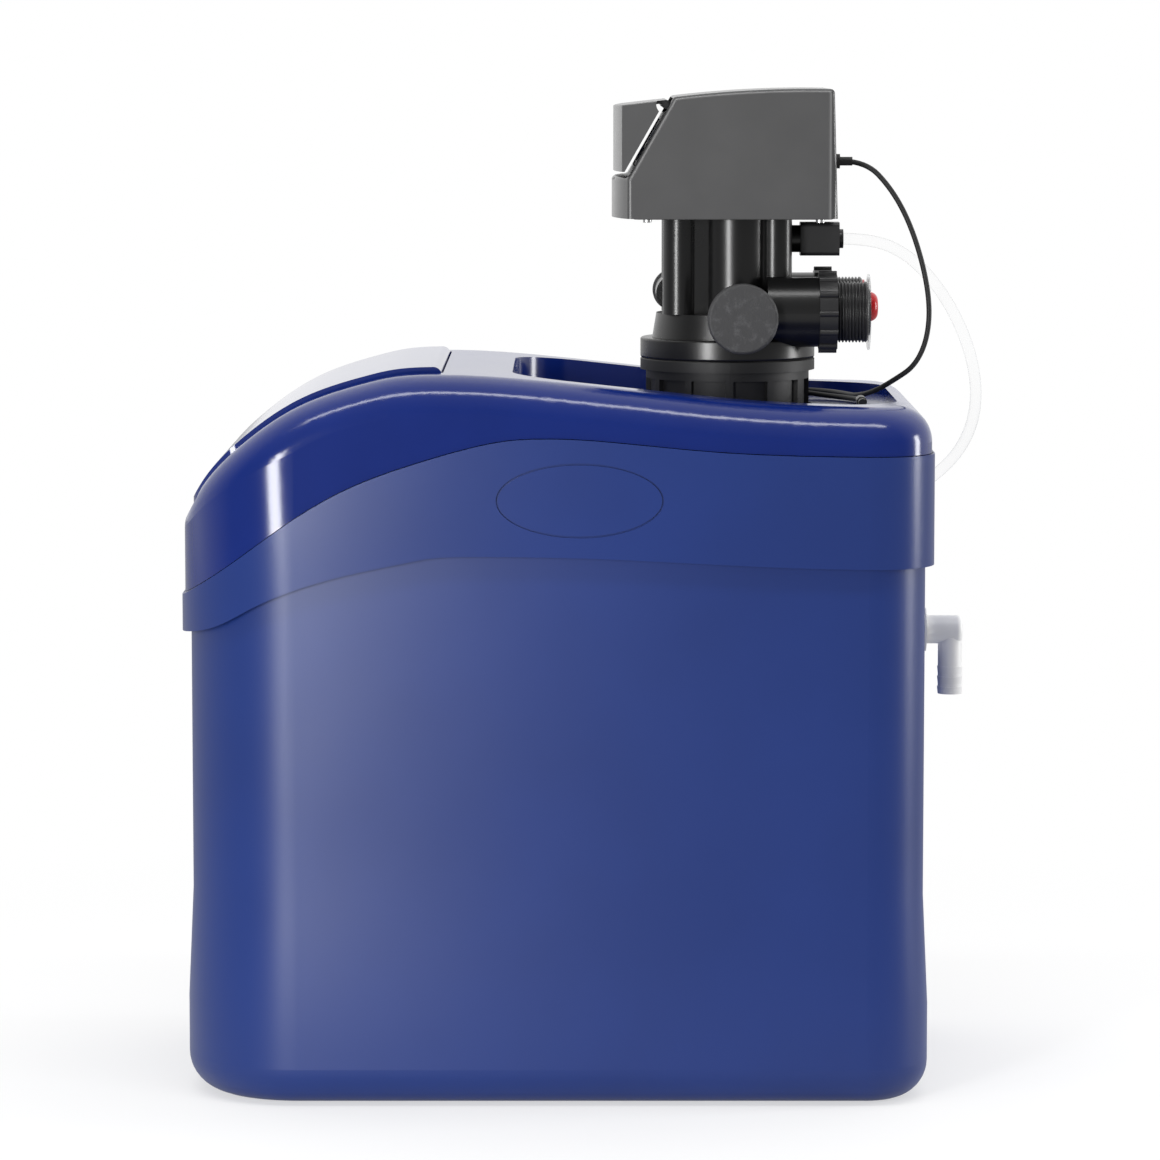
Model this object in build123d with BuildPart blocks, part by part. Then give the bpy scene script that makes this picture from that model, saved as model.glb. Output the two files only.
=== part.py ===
"""Compact water softener: a moulded cabinet with a salt lid, a resin vessel and a motorised valve.

Millimetres, +Z up, front towards -Y, the origin on the floor under the middle of the cabinet.
"""

from build123d import *
import math
import os

os.makedirs("parts", exist_ok=True)

# General
overrun = 20.0  # how far a cutting body runs past what it cuts
rest_gap = 0.3  # gap between loose pieces that rest on one another
running_gap = 0.05  # radial clearance of a shaft in its hole
edge_break = 0.8  # small rounding on moulded edges

# Cabinet
cabinet_length = 510.0  # front to back over the belt
cabinet_width = 330.0  # side to side over the belt
belt_step = 6.0  # how far the belt stands proud of the tank body
cover_inset = 2.0  # how far the cover stands back from the belt
front_corner = 80.0
rear_corner = 46.0
tank_wall = 4.0
tank_floor = 4.0
foot_radius = 26.0
foot_flare = 3.5  # how far the body widens again towards its foot
flare_low = 65.0
flare_high = 140.0
oval_length = 112.0  # the moulded oval on each side of the belt
oval_height = 50.0
oval_groove = 1.2
oval_middle_y = 16.0
oval_middle_z = 411.0

# Heights of the lines that run round the cabinet, at the front, the crest and the rear
parting_front = 341.0
parting_crest = 452.0
parting_rear = 439.6
belt_front = 318.0
belt_crest = 373.5
belt_rear = 364.5
cover_front = 391.0
cover_crest = 493.5
cover_rear = 471.5
crest_share = 0.345  # where the cover is highest, from front to rear
parting_crest_share = 0.49
belt_crest_share = 0.395
front_run_share = 0.03  # how far a line is carried on past the front and rear

# Points of those lines: share of the way back, then share of the rise or of the fall
cover_rise_shares = ((0.0, -0.02), (0.098, 0.262), (0.278, 0.575), (0.5, 0.815), (0.73, 0.945))
cover_fall_shares = ((0.22, 0.2), (0.42, 0.52), (0.63, 0.84), (0.82, 0.975), (1.0, 1.0))
parting_rise_shares = ((0.0, 0.0), (0.137, 0.215), (0.31, 0.5), (0.47, 0.705), (0.63, 0.84), (0.84, 0.97))
parting_fall_shares = ((0.23, 0.32), (0.45, 0.74), (0.7, 0.95), (1.0, 1.0))
belt_rise_shares = ((0.0, -0.03), (0.12, 0.1), (0.26, 0.375), (0.39, 0.58), (0.59, 0.79), (0.79, 0.94))
belt_fall_shares = ((0.3, 0.2), (0.62, 0.75), (1.0, 1.0))

# Cover
cover_wall = 3.2
cover_edge = 24.0  # rounding along the top edges of the cover
cover_gap = 0.4  # joint line between cover and belt
skirt_depth = 12.0
skirt_gap = 0.6
salt_port_half = cabinet_width / 2 - 69.0
salt_port_front = 29.0 - cabinet_length / 2
salt_port_rear = 155.0 - cabinet_length / 2
salt_port_corner = 26.0
well_half = cabinet_width / 2 - 45.0
well_front = cabinet_length / 2 - 285.0
well_rear = cabinet_length / 2 - 23.0
well_corner = 45.0
well_floor = 464.5
well_wall = 3.0
collar_hole = 59.0

# Salt lid
lid_half = cabinet_width / 2 - 47.0
lid_front = 8.0 - cabinet_length / 2
lid_seam = 179.0 - cabinet_length / 2
lid_corner = 34.0
lid_seat = 1.6  # depth of the seat that the lid lies in
lid_thickness = 5.4
lid_skin = 3.0
lid_rim = 9.0
lid_gap = 0.8
hinge_radius = 6.0
hinge_gap = 0.8
hinge_wall = 3.0
hinge_pin_radius = 2.0
hinge_pin_length = 24.0
hinge_pin_inside = 18.0  # length of each pin that lies in the lid

# Valve axis and the pieces stacked on it
vessel_y = cabinet_length / 2 - 136.5
adapter_low = 458.0
adapter_lip_low = 489.0
adapter_top = 497.0
adapter_radius = 56.6
adapter_lip_radius = 60.5
adapter_ribs = 12
adapter_rib_width = 5.0
adapter_rib_inset = 3.2
adapter_band = 6.0
flange_top = 511.0
flange_edge = 1.5
flare_top = 528.0
flare_low_radius = 52.3
flare_high_radius = 49.5
neck_top = 594.0
neck_half_width = 32.0
neck_half_length = 42.0
neck_corner = 10.0
main_column_radius = 22.7
main_column_x = 20.0
main_column_y = 5.2
front_column_radius = 12.0
front_column_x = 25.0
front_column_y = -33.5
rear_column_radius = 11.0
rear_column_x = 25.0
rear_column_y = 32.6
spigot_radius = 31.0
spigot_low = 466.0
stack_bore = 17.0
stack_low = 503.0

# Resin vessel
vessel_radius = 101.6
vessel_wall = 3.0
vessel_low = 4.4
vessel_side_low = 72.0
vessel_side_high = 378.0
vessel_shoulder = 449.0
vessel_neck_radius = 40.8
vessel_top = 489.0
vessel_foot_radius = 70.0
vessel_foot_height = 10.0
dome_pull_share = 0.62  # how square the domes are
resin_low = 40.0
resin_top = 345.0
resin_gap = 0.6
riser_radius = 13.35
riser_wall = 1.8
riser_low = 24.0
riser_top = 492.0
strainer_radius = 22.0
strainer_seat = 2.4  # how far above the lowest point of the dome the strainer stands
strainer_height = 46.0
strainer_slots = 24
strainer_slot_width = 1.6
strainer_slot_depth = 2.4
strainer_slot_margin = 14.0
top_strainer_radius = 28.0
top_strainer_height = 30.0
top_strainer_wall = 3.0

# Valve internals
seal_count = 5
seal_height = 6.0
spacer_height = 13.0
seal_inner = 13.0
spacer_inner = 14.2
spacer_windows = 8
spacer_window = 5.0
piston_length = 50.0
piston_low = 508.0
piston_waist = 9.5
piston_waist_length = 14.0
rod_radius = 4.0
rod_top = 640.0
rod_seat = 12.0
retainer_height = 8.6

# Side caps, drain and brine connections of the valve
injector_y = 8.7
injector_z = 526.6
injector_boss_radius = 22.6
injector_boss_end = 60.9
injector_cap_radius = 24.2
injector_cap_end = 70.5
injector_skirt = 4.0
injector_skirt_radius = 23.2
cap_edge = 2.4
far_y = -36.6
far_z = 541.0
far_boss_radius = 13.0
far_boss_end = 52.0
far_cap_radius = 14.7
far_cap_end = 61.0
drain_y = 6.0
drain_z = 574.0
drain_boss_radius = 11.0
drain_boss_end = 50.0
drain_end = 82.0
drain_bore = 5.0
drain_collar_length = 5.0
drain_barb_radius = 7.6
drain_root_radius = 6.5
drain_barbs = 4
brine_z = 579.0
brine_boss_radius = 9.4
brine_boss_end = 52.3
connector_front = 50.2
connector_end = 77.2
connector_width = 21.0
connector_height = 23.0
connector_corner = 3.0
collet_radius = 6.6
collet_length = 2.9
tube_seat = 10.0

# Water ports
port_x = 36.0
port_z = 530.0
port_start = 26.0
port_barrel_radius = 24.0
port_barrel_end = 61.6
port_bore = 16.0
port_wall = 5.0
channel_radius = 6.0
union_end = 74.0
union_radius = 26.0
union_ribs = 12
union_rib_radius = 2.2
thread_radius = 20.955
thread_end = 95.3
tail_flange_radius = 21.5
tail_flange_length = 5.0
thread_chamfer = 1.4
thread_relief = 0.6  # how much thinner the tail is where the union ring covers it
thread_relief_run = 1.0  # how far the thinner part shows beyond the ring
plug_radius = 10.4
plug_end = 106.6
plug_dome = 6.0
plug_stem_radius = 15.9
plug_stem_length = 12.0
plug_flange_radius = 19.0
plug_flange_length = 1.6
washer_radius = 26.0
washer_thickness = 1.2

# Flow turbine in the near port
turbine_y = 84.0
turbine_length = 10.0
turbine_radius = 14.6
turbine_hub = 4.0
turbine_blades = 6
turbine_blade = 1.4
axle_radius = 1.5
spider_ring = 3.0
spider_length = 2.4
spider_arm = 2.2

# Control head
head_front = vessel_y - 69.5
head_rear = vessel_y + 74.1
head_rear_top = vessel_y + 70.9
head_low = 594.6
head_slant_low = head_low + 28.6
head_slant_y = vessel_y - 38.6
head_rear_height = 682.8
head_front_top = head_rear_height - 5.4
head_half = 62.0
head_bow = 11.0
head_wall = 2.5
head_edge = 3.0
head_crown = 2.0
head_rear_corner = 8.0
head_screw_x = 55.0
head_screw_front = vessel_y - 56.5
head_screw_rear = vessel_y + 61.5
head_screw_radius = 1.6
head_screw_head = 3.0
head_screw_head_height = 2.0
head_screw_length = 14.0
head_post_radius = 4.0
base_plate = 3.0
base_inset = 3.8
base_rim = 9.0
rod_clearance_radius = 8.0

# Dust cover over the controls
dust_front = vessel_y - 73.9
dust_low = head_slant_low + 3.4
dust_top = head_front_top - 5.4
dust_bow = 5.6
dust_wall = 2.2
dust_hinge_y = vessel_y - 43.9
dust_hinge_top = head_front_top - 2.0
dust_gap = 4.0  # clear space between the cover's cheeks and the sloping face
dust_barrel_radius = 3.0
dust_barrel_half = 54.0
dust_groove_radius = 6.4
dust_peg_radius = 1.6
dust_peg_length = 3.4

# Controls
panel_width = 94.0
panel_height = 36.0
panel_share = 0.42  # how far up the sloping face the panel's middle lies
panel_thickness = 3.0
panel_corner = 5.0
panel_recess = 1.0
screen_width = 46.0
screen_height = 14.0
screen_recess = 0.6
screen_share = 0.2  # how far up the panel the screen's middle lies
button_radius = 5.0
button_length = 6.0
button_proud = 1.4
button_pitch = 20.0
button_share = -0.26
button_lip = 1.2
button_lip_thickness = 1.0
board_width = 88.0
board_height = 32.0
board_thickness = 1.6
board_gap = 3.0
board_post_x = 38.0
board_post_y = 12.0
board_post_radius = 1.8
board_peg_radius = 1.0
panel_flange = 2.0
panel_flange_thickness = 1.2
screen_lip = 2.0
screen_lip_thickness = 1.0
chip_size = 9.0
chip_height = 1.6
chip_count = 3

# Drive train
gear_low = 607.0
gear_height = 8.0
gear_module = 1.0
drive_teeth = 60
idler_teeth = 36
pinion_teeth = 12
tooth_root_depth_share = 1.2
tooth_tip_height_share = 0.9
arc_share = 0.45  # how much of the shorter run an arc of a route takes up
sky_share = 0.2  # a face whose normal points up by more than this share is a top face
tooth_tip_share = 0.16
tooth_root_share = 0.25
drive_hub_radius = 11.0
drive_hub_height = 10.0
idler_angle = 55.0
pinion_angle = 165.0
idler_hub_radius = 6.0
idler_pin_radius = 3.0
pinion_shaft_radius = 1.5
motor_radius = 15.0
motor_low = 620.0
motor_height = 40.0
motor_ear = 3.0
motor_post_radius = 3.2
motor_post_reach = 20.0
motor_post_angles = (75.0, 165.0)
motor_rounding = 2.0
pinion_shaft_length = 15.0
hub_ring_gap = 0.05
spoke_count = 5
spoke_hole_radius = 5.0

# Brine system
brine_well_x = 57.0 - cabinet_width / 2
brine_well_y = -14.0
brine_well_radius = 42.5
brine_well_wall = 2.5
brine_well_low = 13.0  # its edge rests on the rounded corner of the tank floor
brine_well_top = 350.0
brine_slots = 6
brine_slot_low = 6.0
brine_slot_width = 4.0
brine_slot_height = 60.0
well_cap_height = 5.0
well_cap_overlap = 12.0
elbow_radius = 7.0
brine_elbow_z = 363.0
elbow_reach = 16.0
float_valve_radius = 20.0
float_valve_height = 52.0
float_valve_foot = 24.0
float_valve_foot_height = 6.0
float_rod_radius = 2.0
float_radius = 30.0
float_low = 150.0
float_height = 44.0
float_rod_top = 380.0
float_rod_low = 30.0
float_rod_offset = 14.0
riser_pipe_radius = 5.0
float_clip = 1.2
grid_low = 52.0
grid_thickness = 4.0
grid_gap = 4.0
grid_leg_radius = 8.0
grid_slot_length = 40.0
grid_slot_width = 6.0
grid_slot_columns = 4
grid_slot_rows = 8
grid_slot_pitch_x = 52.0
grid_slot_pitch_y = 16.0
grid_slots_y = 89.0 - cabinet_length / 2
grid_leg_x = cabinet_width / 2 - 65.0
grid_leg_front = 50.0 - cabinet_length / 2
grid_leg_rear = 185.0 - cabinet_length / 2

# Overflow
overflow_x = 60.0
overflow_z = 313.0
overflow_arm_radius = 9.7
overflow_arm_rounding = 4.0
overflow_leg_radius = 8.25
overflow_leg_y = cabinet_length / 2 + 15.5
overflow_leg_low = 268.8
overflow_bore = 6.2
overflow_barb = 0.5
overflow_barbs = 3
overflow_barb_pitch = 7.0
overflow_barb_height = 5.0
overflow_stub_radius = 9.5
overflow_stub_end = cabinet_length / 2 - 21.0
overflow_flange_radius = 15.0
overflow_flange = 2.6
overflow_gasket = 2.0
overflow_nut_radius = 15.5
overflow_nut_height = 7.0

# Brine tube and power lead
tube_radius = 4.0
tube_route = (
    (0, 195.7, 579),
    (0, 217, 579),
    (0, 241, 570),
    (0, 263, 549),
    (0, 281, 519),
    (-4, 291.5, 487),
    (-20, 293.5, 457),
    (-40, 286, 431),
    (-55, 270, 411),
    (-60.5, 248, 396),
)
inner_route = (
    (-60.6, 247.6, 395.7),
    (-66.2, 225.2, 380.5),
    (-82, 199, 369),
    (-106, 172, 364),
    (-130, 140, 362),
    (-140, 104, 362.5),
    (-139, 76, 362.3),
    (-124, 48, 362.6),
    (-108, 22, 363),
    (-108, -6, 363),
)
grommet_radius = 12.6
grommet_neck_radius = 9.6
grommet_flange = 1.6
grommet_x = -60.0
grommet_z = 397.4

lead_radius = 1.8
gland_x = 20.0
gland_z = 633.0
gland_radius = 5.0
gland_tip_radius = 3.0
gland_length = 11.0
gland_flange = 2.4
gland_seat = 6.0
gland_inner_radius = 4.4
lead_route = (
    (20, 198, 633),
    (20, 213, 632.6),
    (20, 230, 615),
    (20, 243, 592),
    (20, 253, 562),
    (20, 258, 533),
    (18, 256, 509),
    (11, 248, 491),
    (0, 235, 481),
    (-18, 222, 471.5),
    (-40, 211, 467),
    (-64, 205, 466.6),
    (-88, 197, 466.6),
    (-107, 183, 466.6),
    (-114, 161, 466.6),
    (-114, 138, 466.6),
)
tail_route = (
    (-62, 138, 470.7),
    (-62, 152, 470.7),
    (-57, 172, 468.6),
    (-45, 189, 467),
    (-28, 202, 466.6),
    (-8, 209, 467),
    (10, 210, 468.4),
    (24, 210, 468.4),
)
coil_x = -88.0
coil_y = 138.0
coil_radius = 26.0
coil_pitch = 5.0
coil_rise = 4.1
coil_turns = 2  # turns in each of the two layers
coil_start_angle = 180.0
coil_low = 466.6
coil_samples = 700
plug_body_radius = 3.6
plug_body_length = 18.0
plug_tip_radius = 2.75
plug_tip_length = 10.0

# Values worked out from the sizes above
front_y = -cabinet_length / 2
rear_y = cabinet_length / 2
belt_half = cabinet_width / 2
body_inset = belt_step
inner_inset = belt_step + tank_wall
line_run = front_run_share * cabinet_length
hinge_y = lid_seam - hinge_gap - hinge_radius
hinge_z = cover_crest + lid_thickness - lid_seat - hinge_radius
strainer_base = vessel_low + vessel_foot_height + vessel_wall + strainer_seat
valve_axis = Axis((0, vessel_y, 0), (0, 0, 1))
valve_side = Plane(origin=(0, vessel_y, 0), x_dir=(1, 0, 0), z_dir=(0, -1, 0))
slant_run = head_slant_y - head_front
slant_rise = head_front_top - head_slant_low
slant_length = math.hypot(slant_run, slant_rise)
slant_normal = Vector(0, -slant_rise, slant_run) / slant_length
slant_middle = Vector(0, head_front + slant_run * panel_share, head_slant_low + slant_rise * panel_share)
panel_plane = Plane(origin=slant_middle, x_dir=(1, 0, 0), z_dir=slant_normal)


def finish(piece, name):
    """Labels a finished sub-part and writes its file."""
    piece.part.label = name
    export_step(piece.part, f"parts/{name}.step")


def plan_face(inset, height):
    """Plan outline of the cabinet, set in from the belt: large front corners, small rear ones."""
    half = belt_half - inset
    with BuildSketch(Plane.XY.offset(height)) as outline:
        with BuildLine():
            FilletPolyline(
                (-half, front_y + inset),
                (half, front_y + inset),
                (half, rear_y - inset),
                (-half, rear_y - inset),
                radius=[front_corner - inset, front_corner - inset, rear_corner - inset, rear_corner - inset],
                close=True,
            )
        make_face()
    return outline.sketch


def line_points(front, crest, rear, crest_at, rise_shares, fall_shares, shift):
    """Two lists of points in (Y, Z): the rise from the front to the crest, and the fall to the rear."""
    top_y = front_y + crest_at * cabinet_length
    rise = [
        (front_y + along * (top_y - front_y), front + up * (crest - front) + shift)
        for along, up in rise_shares
    ]
    fall = [
        (top_y + along * (rear_y - top_y), crest + down * (rear - crest) + shift)
        for along, down in fall_shares
    ]
    return rise + [(top_y, crest + shift)], [(top_y, crest + shift)] + fall


def cover_line(shift):
    """The line over the top of the cover."""
    return line_points(
        cover_front, cover_crest, cover_rear, crest_share, cover_rise_shares, cover_fall_shares, shift
    )


def parting_line(shift):
    """The joint line between belt and cover."""
    return line_points(
        parting_front,
        parting_crest,
        parting_rear,
        parting_crest_share,
        parting_rise_shares,
        parting_fall_shares,
        shift,
    )


def belt_line(shift):
    """The lower edge of the belt."""
    return line_points(
        belt_front, belt_crest, belt_rear, belt_crest_share, belt_rise_shares, belt_fall_shares, shift
    )


def side_line(points):
    """Draws one line over the cabinet as two curves that meet level at the crest."""
    rise, fall = points
    start_slope = (rise[1][1] - rise[0][1]) / (rise[1][0] - rise[0][0])
    lead_in = (rise[0][0] - line_run, rise[0][1] - start_slope * line_run)
    lead_out = (fall[-1][0] + line_run, fall[-1][1])
    Line(lead_in, rise[0])
    Spline(*rise, tangents=[(1, start_slope), (1, 0)])
    Spline(*fall, tangents=[(1, 0), (1, 0)])
    Line(fall[-1], lead_out)
    return lead_in, lead_out


def slab_between(lower, upper):
    """A slab as wide as the cabinet and more, between two of those lines."""
    with BuildSketch(Plane.YZ.offset(-cabinet_width)) as region:
        with BuildLine():
            low_start, low_end = side_line(lower)
            high_start, high_end = side_line(upper)
            Line(low_start, high_start)
            Line(low_end, high_end)
        make_face()
    with BuildPart() as slab:
        extrude(region.sketch, amount=cabinet_width * 2)
    return slab.part


def cover_block(inset, shift, edge_radius, low_shift):
    """The cover as a solid block, set in by inset, its top lowered by shift and its top edges rounded."""
    with BuildPart() as block:
        extrude(plan_face(inset, parting_front - overrun), amount=cover_crest - parting_front + overrun * 2)
        add(slab_between(parting_line(low_shift), cover_line(-shift)), mode=Mode.INTERSECT)
        tops = block.faces().filter_by(lambda face: face.normal_at().Z > sky_share)
        counted = [edge for face in tops for edge in face.edges()]
        rims = [edge for edge in counted if sum(edge.is_same(other) for other in counted) == 1]
        fillet(rims, radius=edge_radius)
    return block.part


def disc(height, outer, inner=0, centre=(0, 0)):
    """A level disc or ring as a face."""
    with BuildSketch(Plane(origin=(centre[0], centre[1], height))) as face:
        Circle(outer)
        if inner > 0:
            Circle(inner, mode=Mode.SUBTRACT)
    return face.sketch


def side_disc(start_x, y, z, outer, inner=0):
    """A disc or ring that faces +X."""
    with BuildSketch(Plane(origin=(start_x, y, z), x_dir=(0, 1, 0), z_dir=(1, 0, 0))) as face:
        Circle(outer)
        if inner > 0:
            Circle(inner, mode=Mode.SUBTRACT)
    return face.sketch


def back_disc(start_y, x, z, outer, inner=0):
    """A disc or ring that faces +Y."""
    with BuildSketch(Plane(origin=(x, start_y, z), x_dir=(1, 0, 0), z_dir=(0, 1, 0))) as face:
        Circle(outer)
        if inner > 0:
            Circle(inner, mode=Mode.SUBTRACT)
    return face.sketch


def level_box(low, width, length, centre=(0, 0), corner=0):
    """A level rectangle as a face, with rounded corners if asked."""
    with BuildSketch(Plane(origin=(centre[0], centre[1], low))) as face:
        if corner > 0:
            RectangleRounded(width, length, corner)
        else:
            Rectangle(width, length)
    return face.sketch


def gear_face(teeth, phase, height, centre):
    """A spur gear outline, one tapered tooth after another round the pitch circle."""
    pitch_radius = teeth * gear_module / 2
    root = pitch_radius - gear_module * tooth_root_depth_share
    tip = pitch_radius + gear_module * tooth_tip_height_share
    corners = []
    for tooth in range(teeth):
        for radius, share in (
            (root, -tooth_root_share),
            (tip, -tooth_tip_share),
            (tip, tooth_tip_share),
            (root, tooth_root_share),
        ):
            angle = math.radians(phase) + (tooth + share) * math.tau / teeth
            corners.append((radius * math.cos(angle), radius * math.sin(angle)))
    with BuildSketch(Plane(origin=(centre[0], centre[1], height))) as face:
        with BuildLine():
            Polyline(*corners, close=True)
        make_face()
    return face.sketch


def corner_radii(points):
    """Radius at each corner of a route: 0.45 of the shorter run over the tangent of half the turn."""
    radii = []
    for before, here, after in zip(points, points[1:], points[2:]):
        run_in = Vector(here) - Vector(before)
        run_out = Vector(after) - Vector(here)
        half_turn = math.radians(run_in.get_angle(run_out)) / 2
        radii.append(arc_share * min(run_in.length, run_out.length) / math.tan(half_turn))
    return radii


def route_tube(points, radius, name, bore=0):
    """A round tube along a route of straight runs joined by tangent arcs."""
    radii = corner_radii(points)
    with BuildPart() as tube:
        with BuildLine() as path:
            FilletPolyline(*points, radius=radii)
        with BuildSketch(Plane(origin=path.line @ 0, z_dir=path.line % 0)):
            Circle(radius)
            if bore > 0:
                Circle(bore, mode=Mode.SUBTRACT)
        sweep()
    length = path.wires()[0].length
    section = math.pi * (radius**2 - bore**2)
    print(name, "length", round(length, 1), "volume share", round(tube.part.volume / (section * length), 4))
    print(name, "radii", [round(value, 1) for value in radii])
    return tube


# Tank: a tapered body with a belt that stands proud round its top
with BuildPart() as tank:
    extrude(plan_face(body_inset, flare_high), amount=parting_crest - flare_high)
    loft([plan_face(body_inset - foot_flare, flare_low), plan_face(body_inset, flare_high)])
    extrude(plan_face(body_inset - foot_flare, 0), amount=flare_low)
    fillet(tank.faces().sort_by(Axis.Z)[0].edges(), radius=foot_radius)
    with BuildPart(mode=Mode.PRIVATE) as belt:
        extrude(plan_face(0, belt_front - overrun), amount=parting_crest - belt_front + overrun)
        add(slab_between(belt_line(0), cover_line(overrun)), mode=Mode.INTERSECT)
    add(belt.part)
    add(slab_between(parting_line(0), cover_line(cover_crest)), mode=Mode.SUBTRACT)
    extrude(plan_face(inner_inset, tank_floor + foot_radius), amount=cover_crest, mode=Mode.SUBTRACT)
    with BuildPart(mode=Mode.PRIVATE) as foot_room:
        extrude(plan_face(inner_inset, tank_floor), amount=foot_radius + edge_break)
        fillet(foot_room.faces().sort_by(Axis.Z)[0].edges(), radius=foot_radius - tank_wall)
    add(foot_room.part, mode=Mode.SUBTRACT)
    for side in (-1, 1):
        groove_plane = Plane(
            origin=(side * belt_half, oval_middle_y, oval_middle_z), x_dir=(0, side, 0), z_dir=(side, 0, 0)
        )
        with BuildSketch(groove_plane):
            Ellipse(oval_length / 2, oval_height / 2)
            Ellipse(oval_length / 2 - oval_groove, oval_height / 2 - oval_groove, mode=Mode.SUBTRACT)
        extrude(amount=-oval_groove, mode=Mode.SUBTRACT)
    extrude(
        back_disc(rear_y - inner_inset - overrun, overflow_x, overflow_z, overflow_stub_radius + running_gap),
        amount=overrun * 2,
        mode=Mode.SUBTRACT,
    )
    extrude(
        back_disc(rear_y - inner_inset - overrun, grommet_x, grommet_z, grommet_neck_radius),
        amount=overrun * 2,
        mode=Mode.SUBTRACT,
    )
finish(tank, "tank")

# Cover: a shell with the salt port, the well that the valve stands in, and the trough for the lid's hinge
with BuildPart() as cover:
    add(cover_block(cover_inset, 0, cover_edge, cover_gap))
    add(
        cover_block(cover_inset + cover_wall, cover_wall, cover_edge - cover_wall, -overrun),
        mode=Mode.SUBTRACT,
    )
    with BuildPart(mode=Mode.PRIVATE) as fillings:
        well_y = (well_front + well_rear) / 2
        extrude(
            level_box(
                well_floor - well_wall,
                well_half * 2 + well_wall * 2,
                well_rear - well_front + well_wall * 2,
                (0, well_y),
                well_corner + well_wall,
            ),
            amount=cover_crest,
        )
        trough_low = hinge_z - hinge_radius - hinge_gap - hinge_wall
        extrude(
            level_box(
                trough_low,
                lid_half * 2 + hinge_wall * 4,
                (hinge_radius + hinge_gap + hinge_wall) * 2,
                (0, hinge_y),
            ),
            amount=cover_crest,
        )
        add(slab_between(parting_line(cover_gap), cover_line(-cover_wall / 2)), mode=Mode.INTERSECT)
    add(fillings.part)
    with BuildPart(mode=Mode.PRIVATE) as seat:
        lid_length = lid_seam - lid_front
        extrude(
            level_box(
                parting_front,
                (lid_half + lid_gap) * 2,
                lid_length + overrun,
                (0, lid_seam - (lid_length + overrun) / 2),
            ),
            amount=cover_crest,
        )
        add(slab_between(cover_line(-lid_seat), cover_line(overrun * 2)), mode=Mode.INTERSECT)
    add(seat.part, mode=Mode.SUBTRACT)
    extrude(
        side_disc(-lid_half - lid_gap, hinge_y, hinge_z, hinge_radius + hinge_gap),
        amount=(lid_half + lid_gap) * 2,
        mode=Mode.SUBTRACT,
    )
    extrude(
        side_disc(-lid_half - hinge_wall * 2, hinge_y, hinge_z, hinge_pin_radius),
        amount=(lid_half + hinge_wall * 2) * 2,
        mode=Mode.SUBTRACT,
    )
    extrude(
        level_box(
            parting_front,
            salt_port_half * 2,
            salt_port_rear - salt_port_front,
            (0, (salt_port_front + salt_port_rear) / 2),
            salt_port_corner,
        ),
        amount=cover_crest,
        mode=Mode.SUBTRACT,
    )
    extrude(
        level_box(well_floor, well_half * 2, well_rear - well_front, (0, well_y), well_corner),
        amount=cover_crest,
        mode=Mode.SUBTRACT,
    )
    extrude(disc(well_floor - overrun, collar_hole, 0, (0, vessel_y)), amount=overrun * 2, mode=Mode.SUBTRACT)
    for outer_inset, low_shift in ((inner_inset + skirt_gap, -skirt_depth), (cover_inset, cover_gap)):
        with BuildPart(mode=Mode.PRIVATE) as skirt:
            extrude(plan_face(outer_inset, parting_front - overrun), amount=cover_crest)
            extrude(
                plan_face(inner_inset + skirt_gap + cover_wall, parting_front - overrun),
                amount=cover_crest,
                mode=Mode.SUBTRACT,
            )
            add(
                slab_between(parting_line(low_shift), parting_line(cover_gap + cover_wall)),
                mode=Mode.INTERSECT,
            )
        add(skirt.part)
finish(cover, "top_cover")

# Salt lid: a curved plate with a rim, its rear edge rolled into a hinge barrel
with BuildPart() as lid:
    with BuildPart(mode=Mode.PRIVATE) as plate:
        extrude(
            level_box(
                parting_front,
                lid_half * 2,
                hinge_y - lid_front + lid_corner * 2,
                (0, (lid_front + hinge_y) / 2 + lid_corner),
                lid_corner,
            ),
            amount=cover_crest,
        )
        extrude(
            level_box(
                parting_front, cabinet_width, hinge_y - lid_front, (0, (lid_front + hinge_y) / 2)
            ),
            amount=cover_crest,
            mode=Mode.INTERSECT,
        )
        add(
            slab_between(cover_line(rest_gap - lid_seat), cover_line(lid_thickness - lid_seat)),
            mode=Mode.INTERSECT,
        )
    add(plate.part)
    with BuildPart(mode=Mode.PRIVATE) as hollow:
        extrude(
            level_box(
                parting_front,
                (lid_half - lid_rim) * 2,
                hinge_y - lid_front - lid_rim * 3,
                (0, (lid_front + hinge_y) / 2),
                lid_corner - lid_rim,
            ),
            amount=cover_crest,
        )
        add(
            slab_between(cover_line(-cover_wall), cover_line(lid_thickness - lid_seat - lid_skin)),
            mode=Mode.INTERSECT,
        )
    add(hollow.part, mode=Mode.SUBTRACT)
    extrude(side_disc(-lid_half, hinge_y, hinge_z, hinge_radius), amount=lid_half * 2)
    extrude(
        side_disc(-lid_half, hinge_y, hinge_z, hinge_pin_radius + running_gap),
        amount=hinge_pin_inside + rest_gap,
        mode=Mode.SUBTRACT,
    )
    extrude(
        side_disc(lid_half, hinge_y, hinge_z, hinge_pin_radius + running_gap),
        amount=-hinge_pin_inside - rest_gap,
        mode=Mode.SUBTRACT,
    )
finish(lid, "salt_lid")

with BuildPart() as lid_pins:
    for side in (-1, 1):
        extrude(
            side_disc(side * (lid_half - hinge_pin_inside), hinge_y, hinge_z, hinge_pin_radius),
            amount=side * hinge_pin_length,
        )
finish(lid_pins, "lid_hinge_pins")


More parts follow.
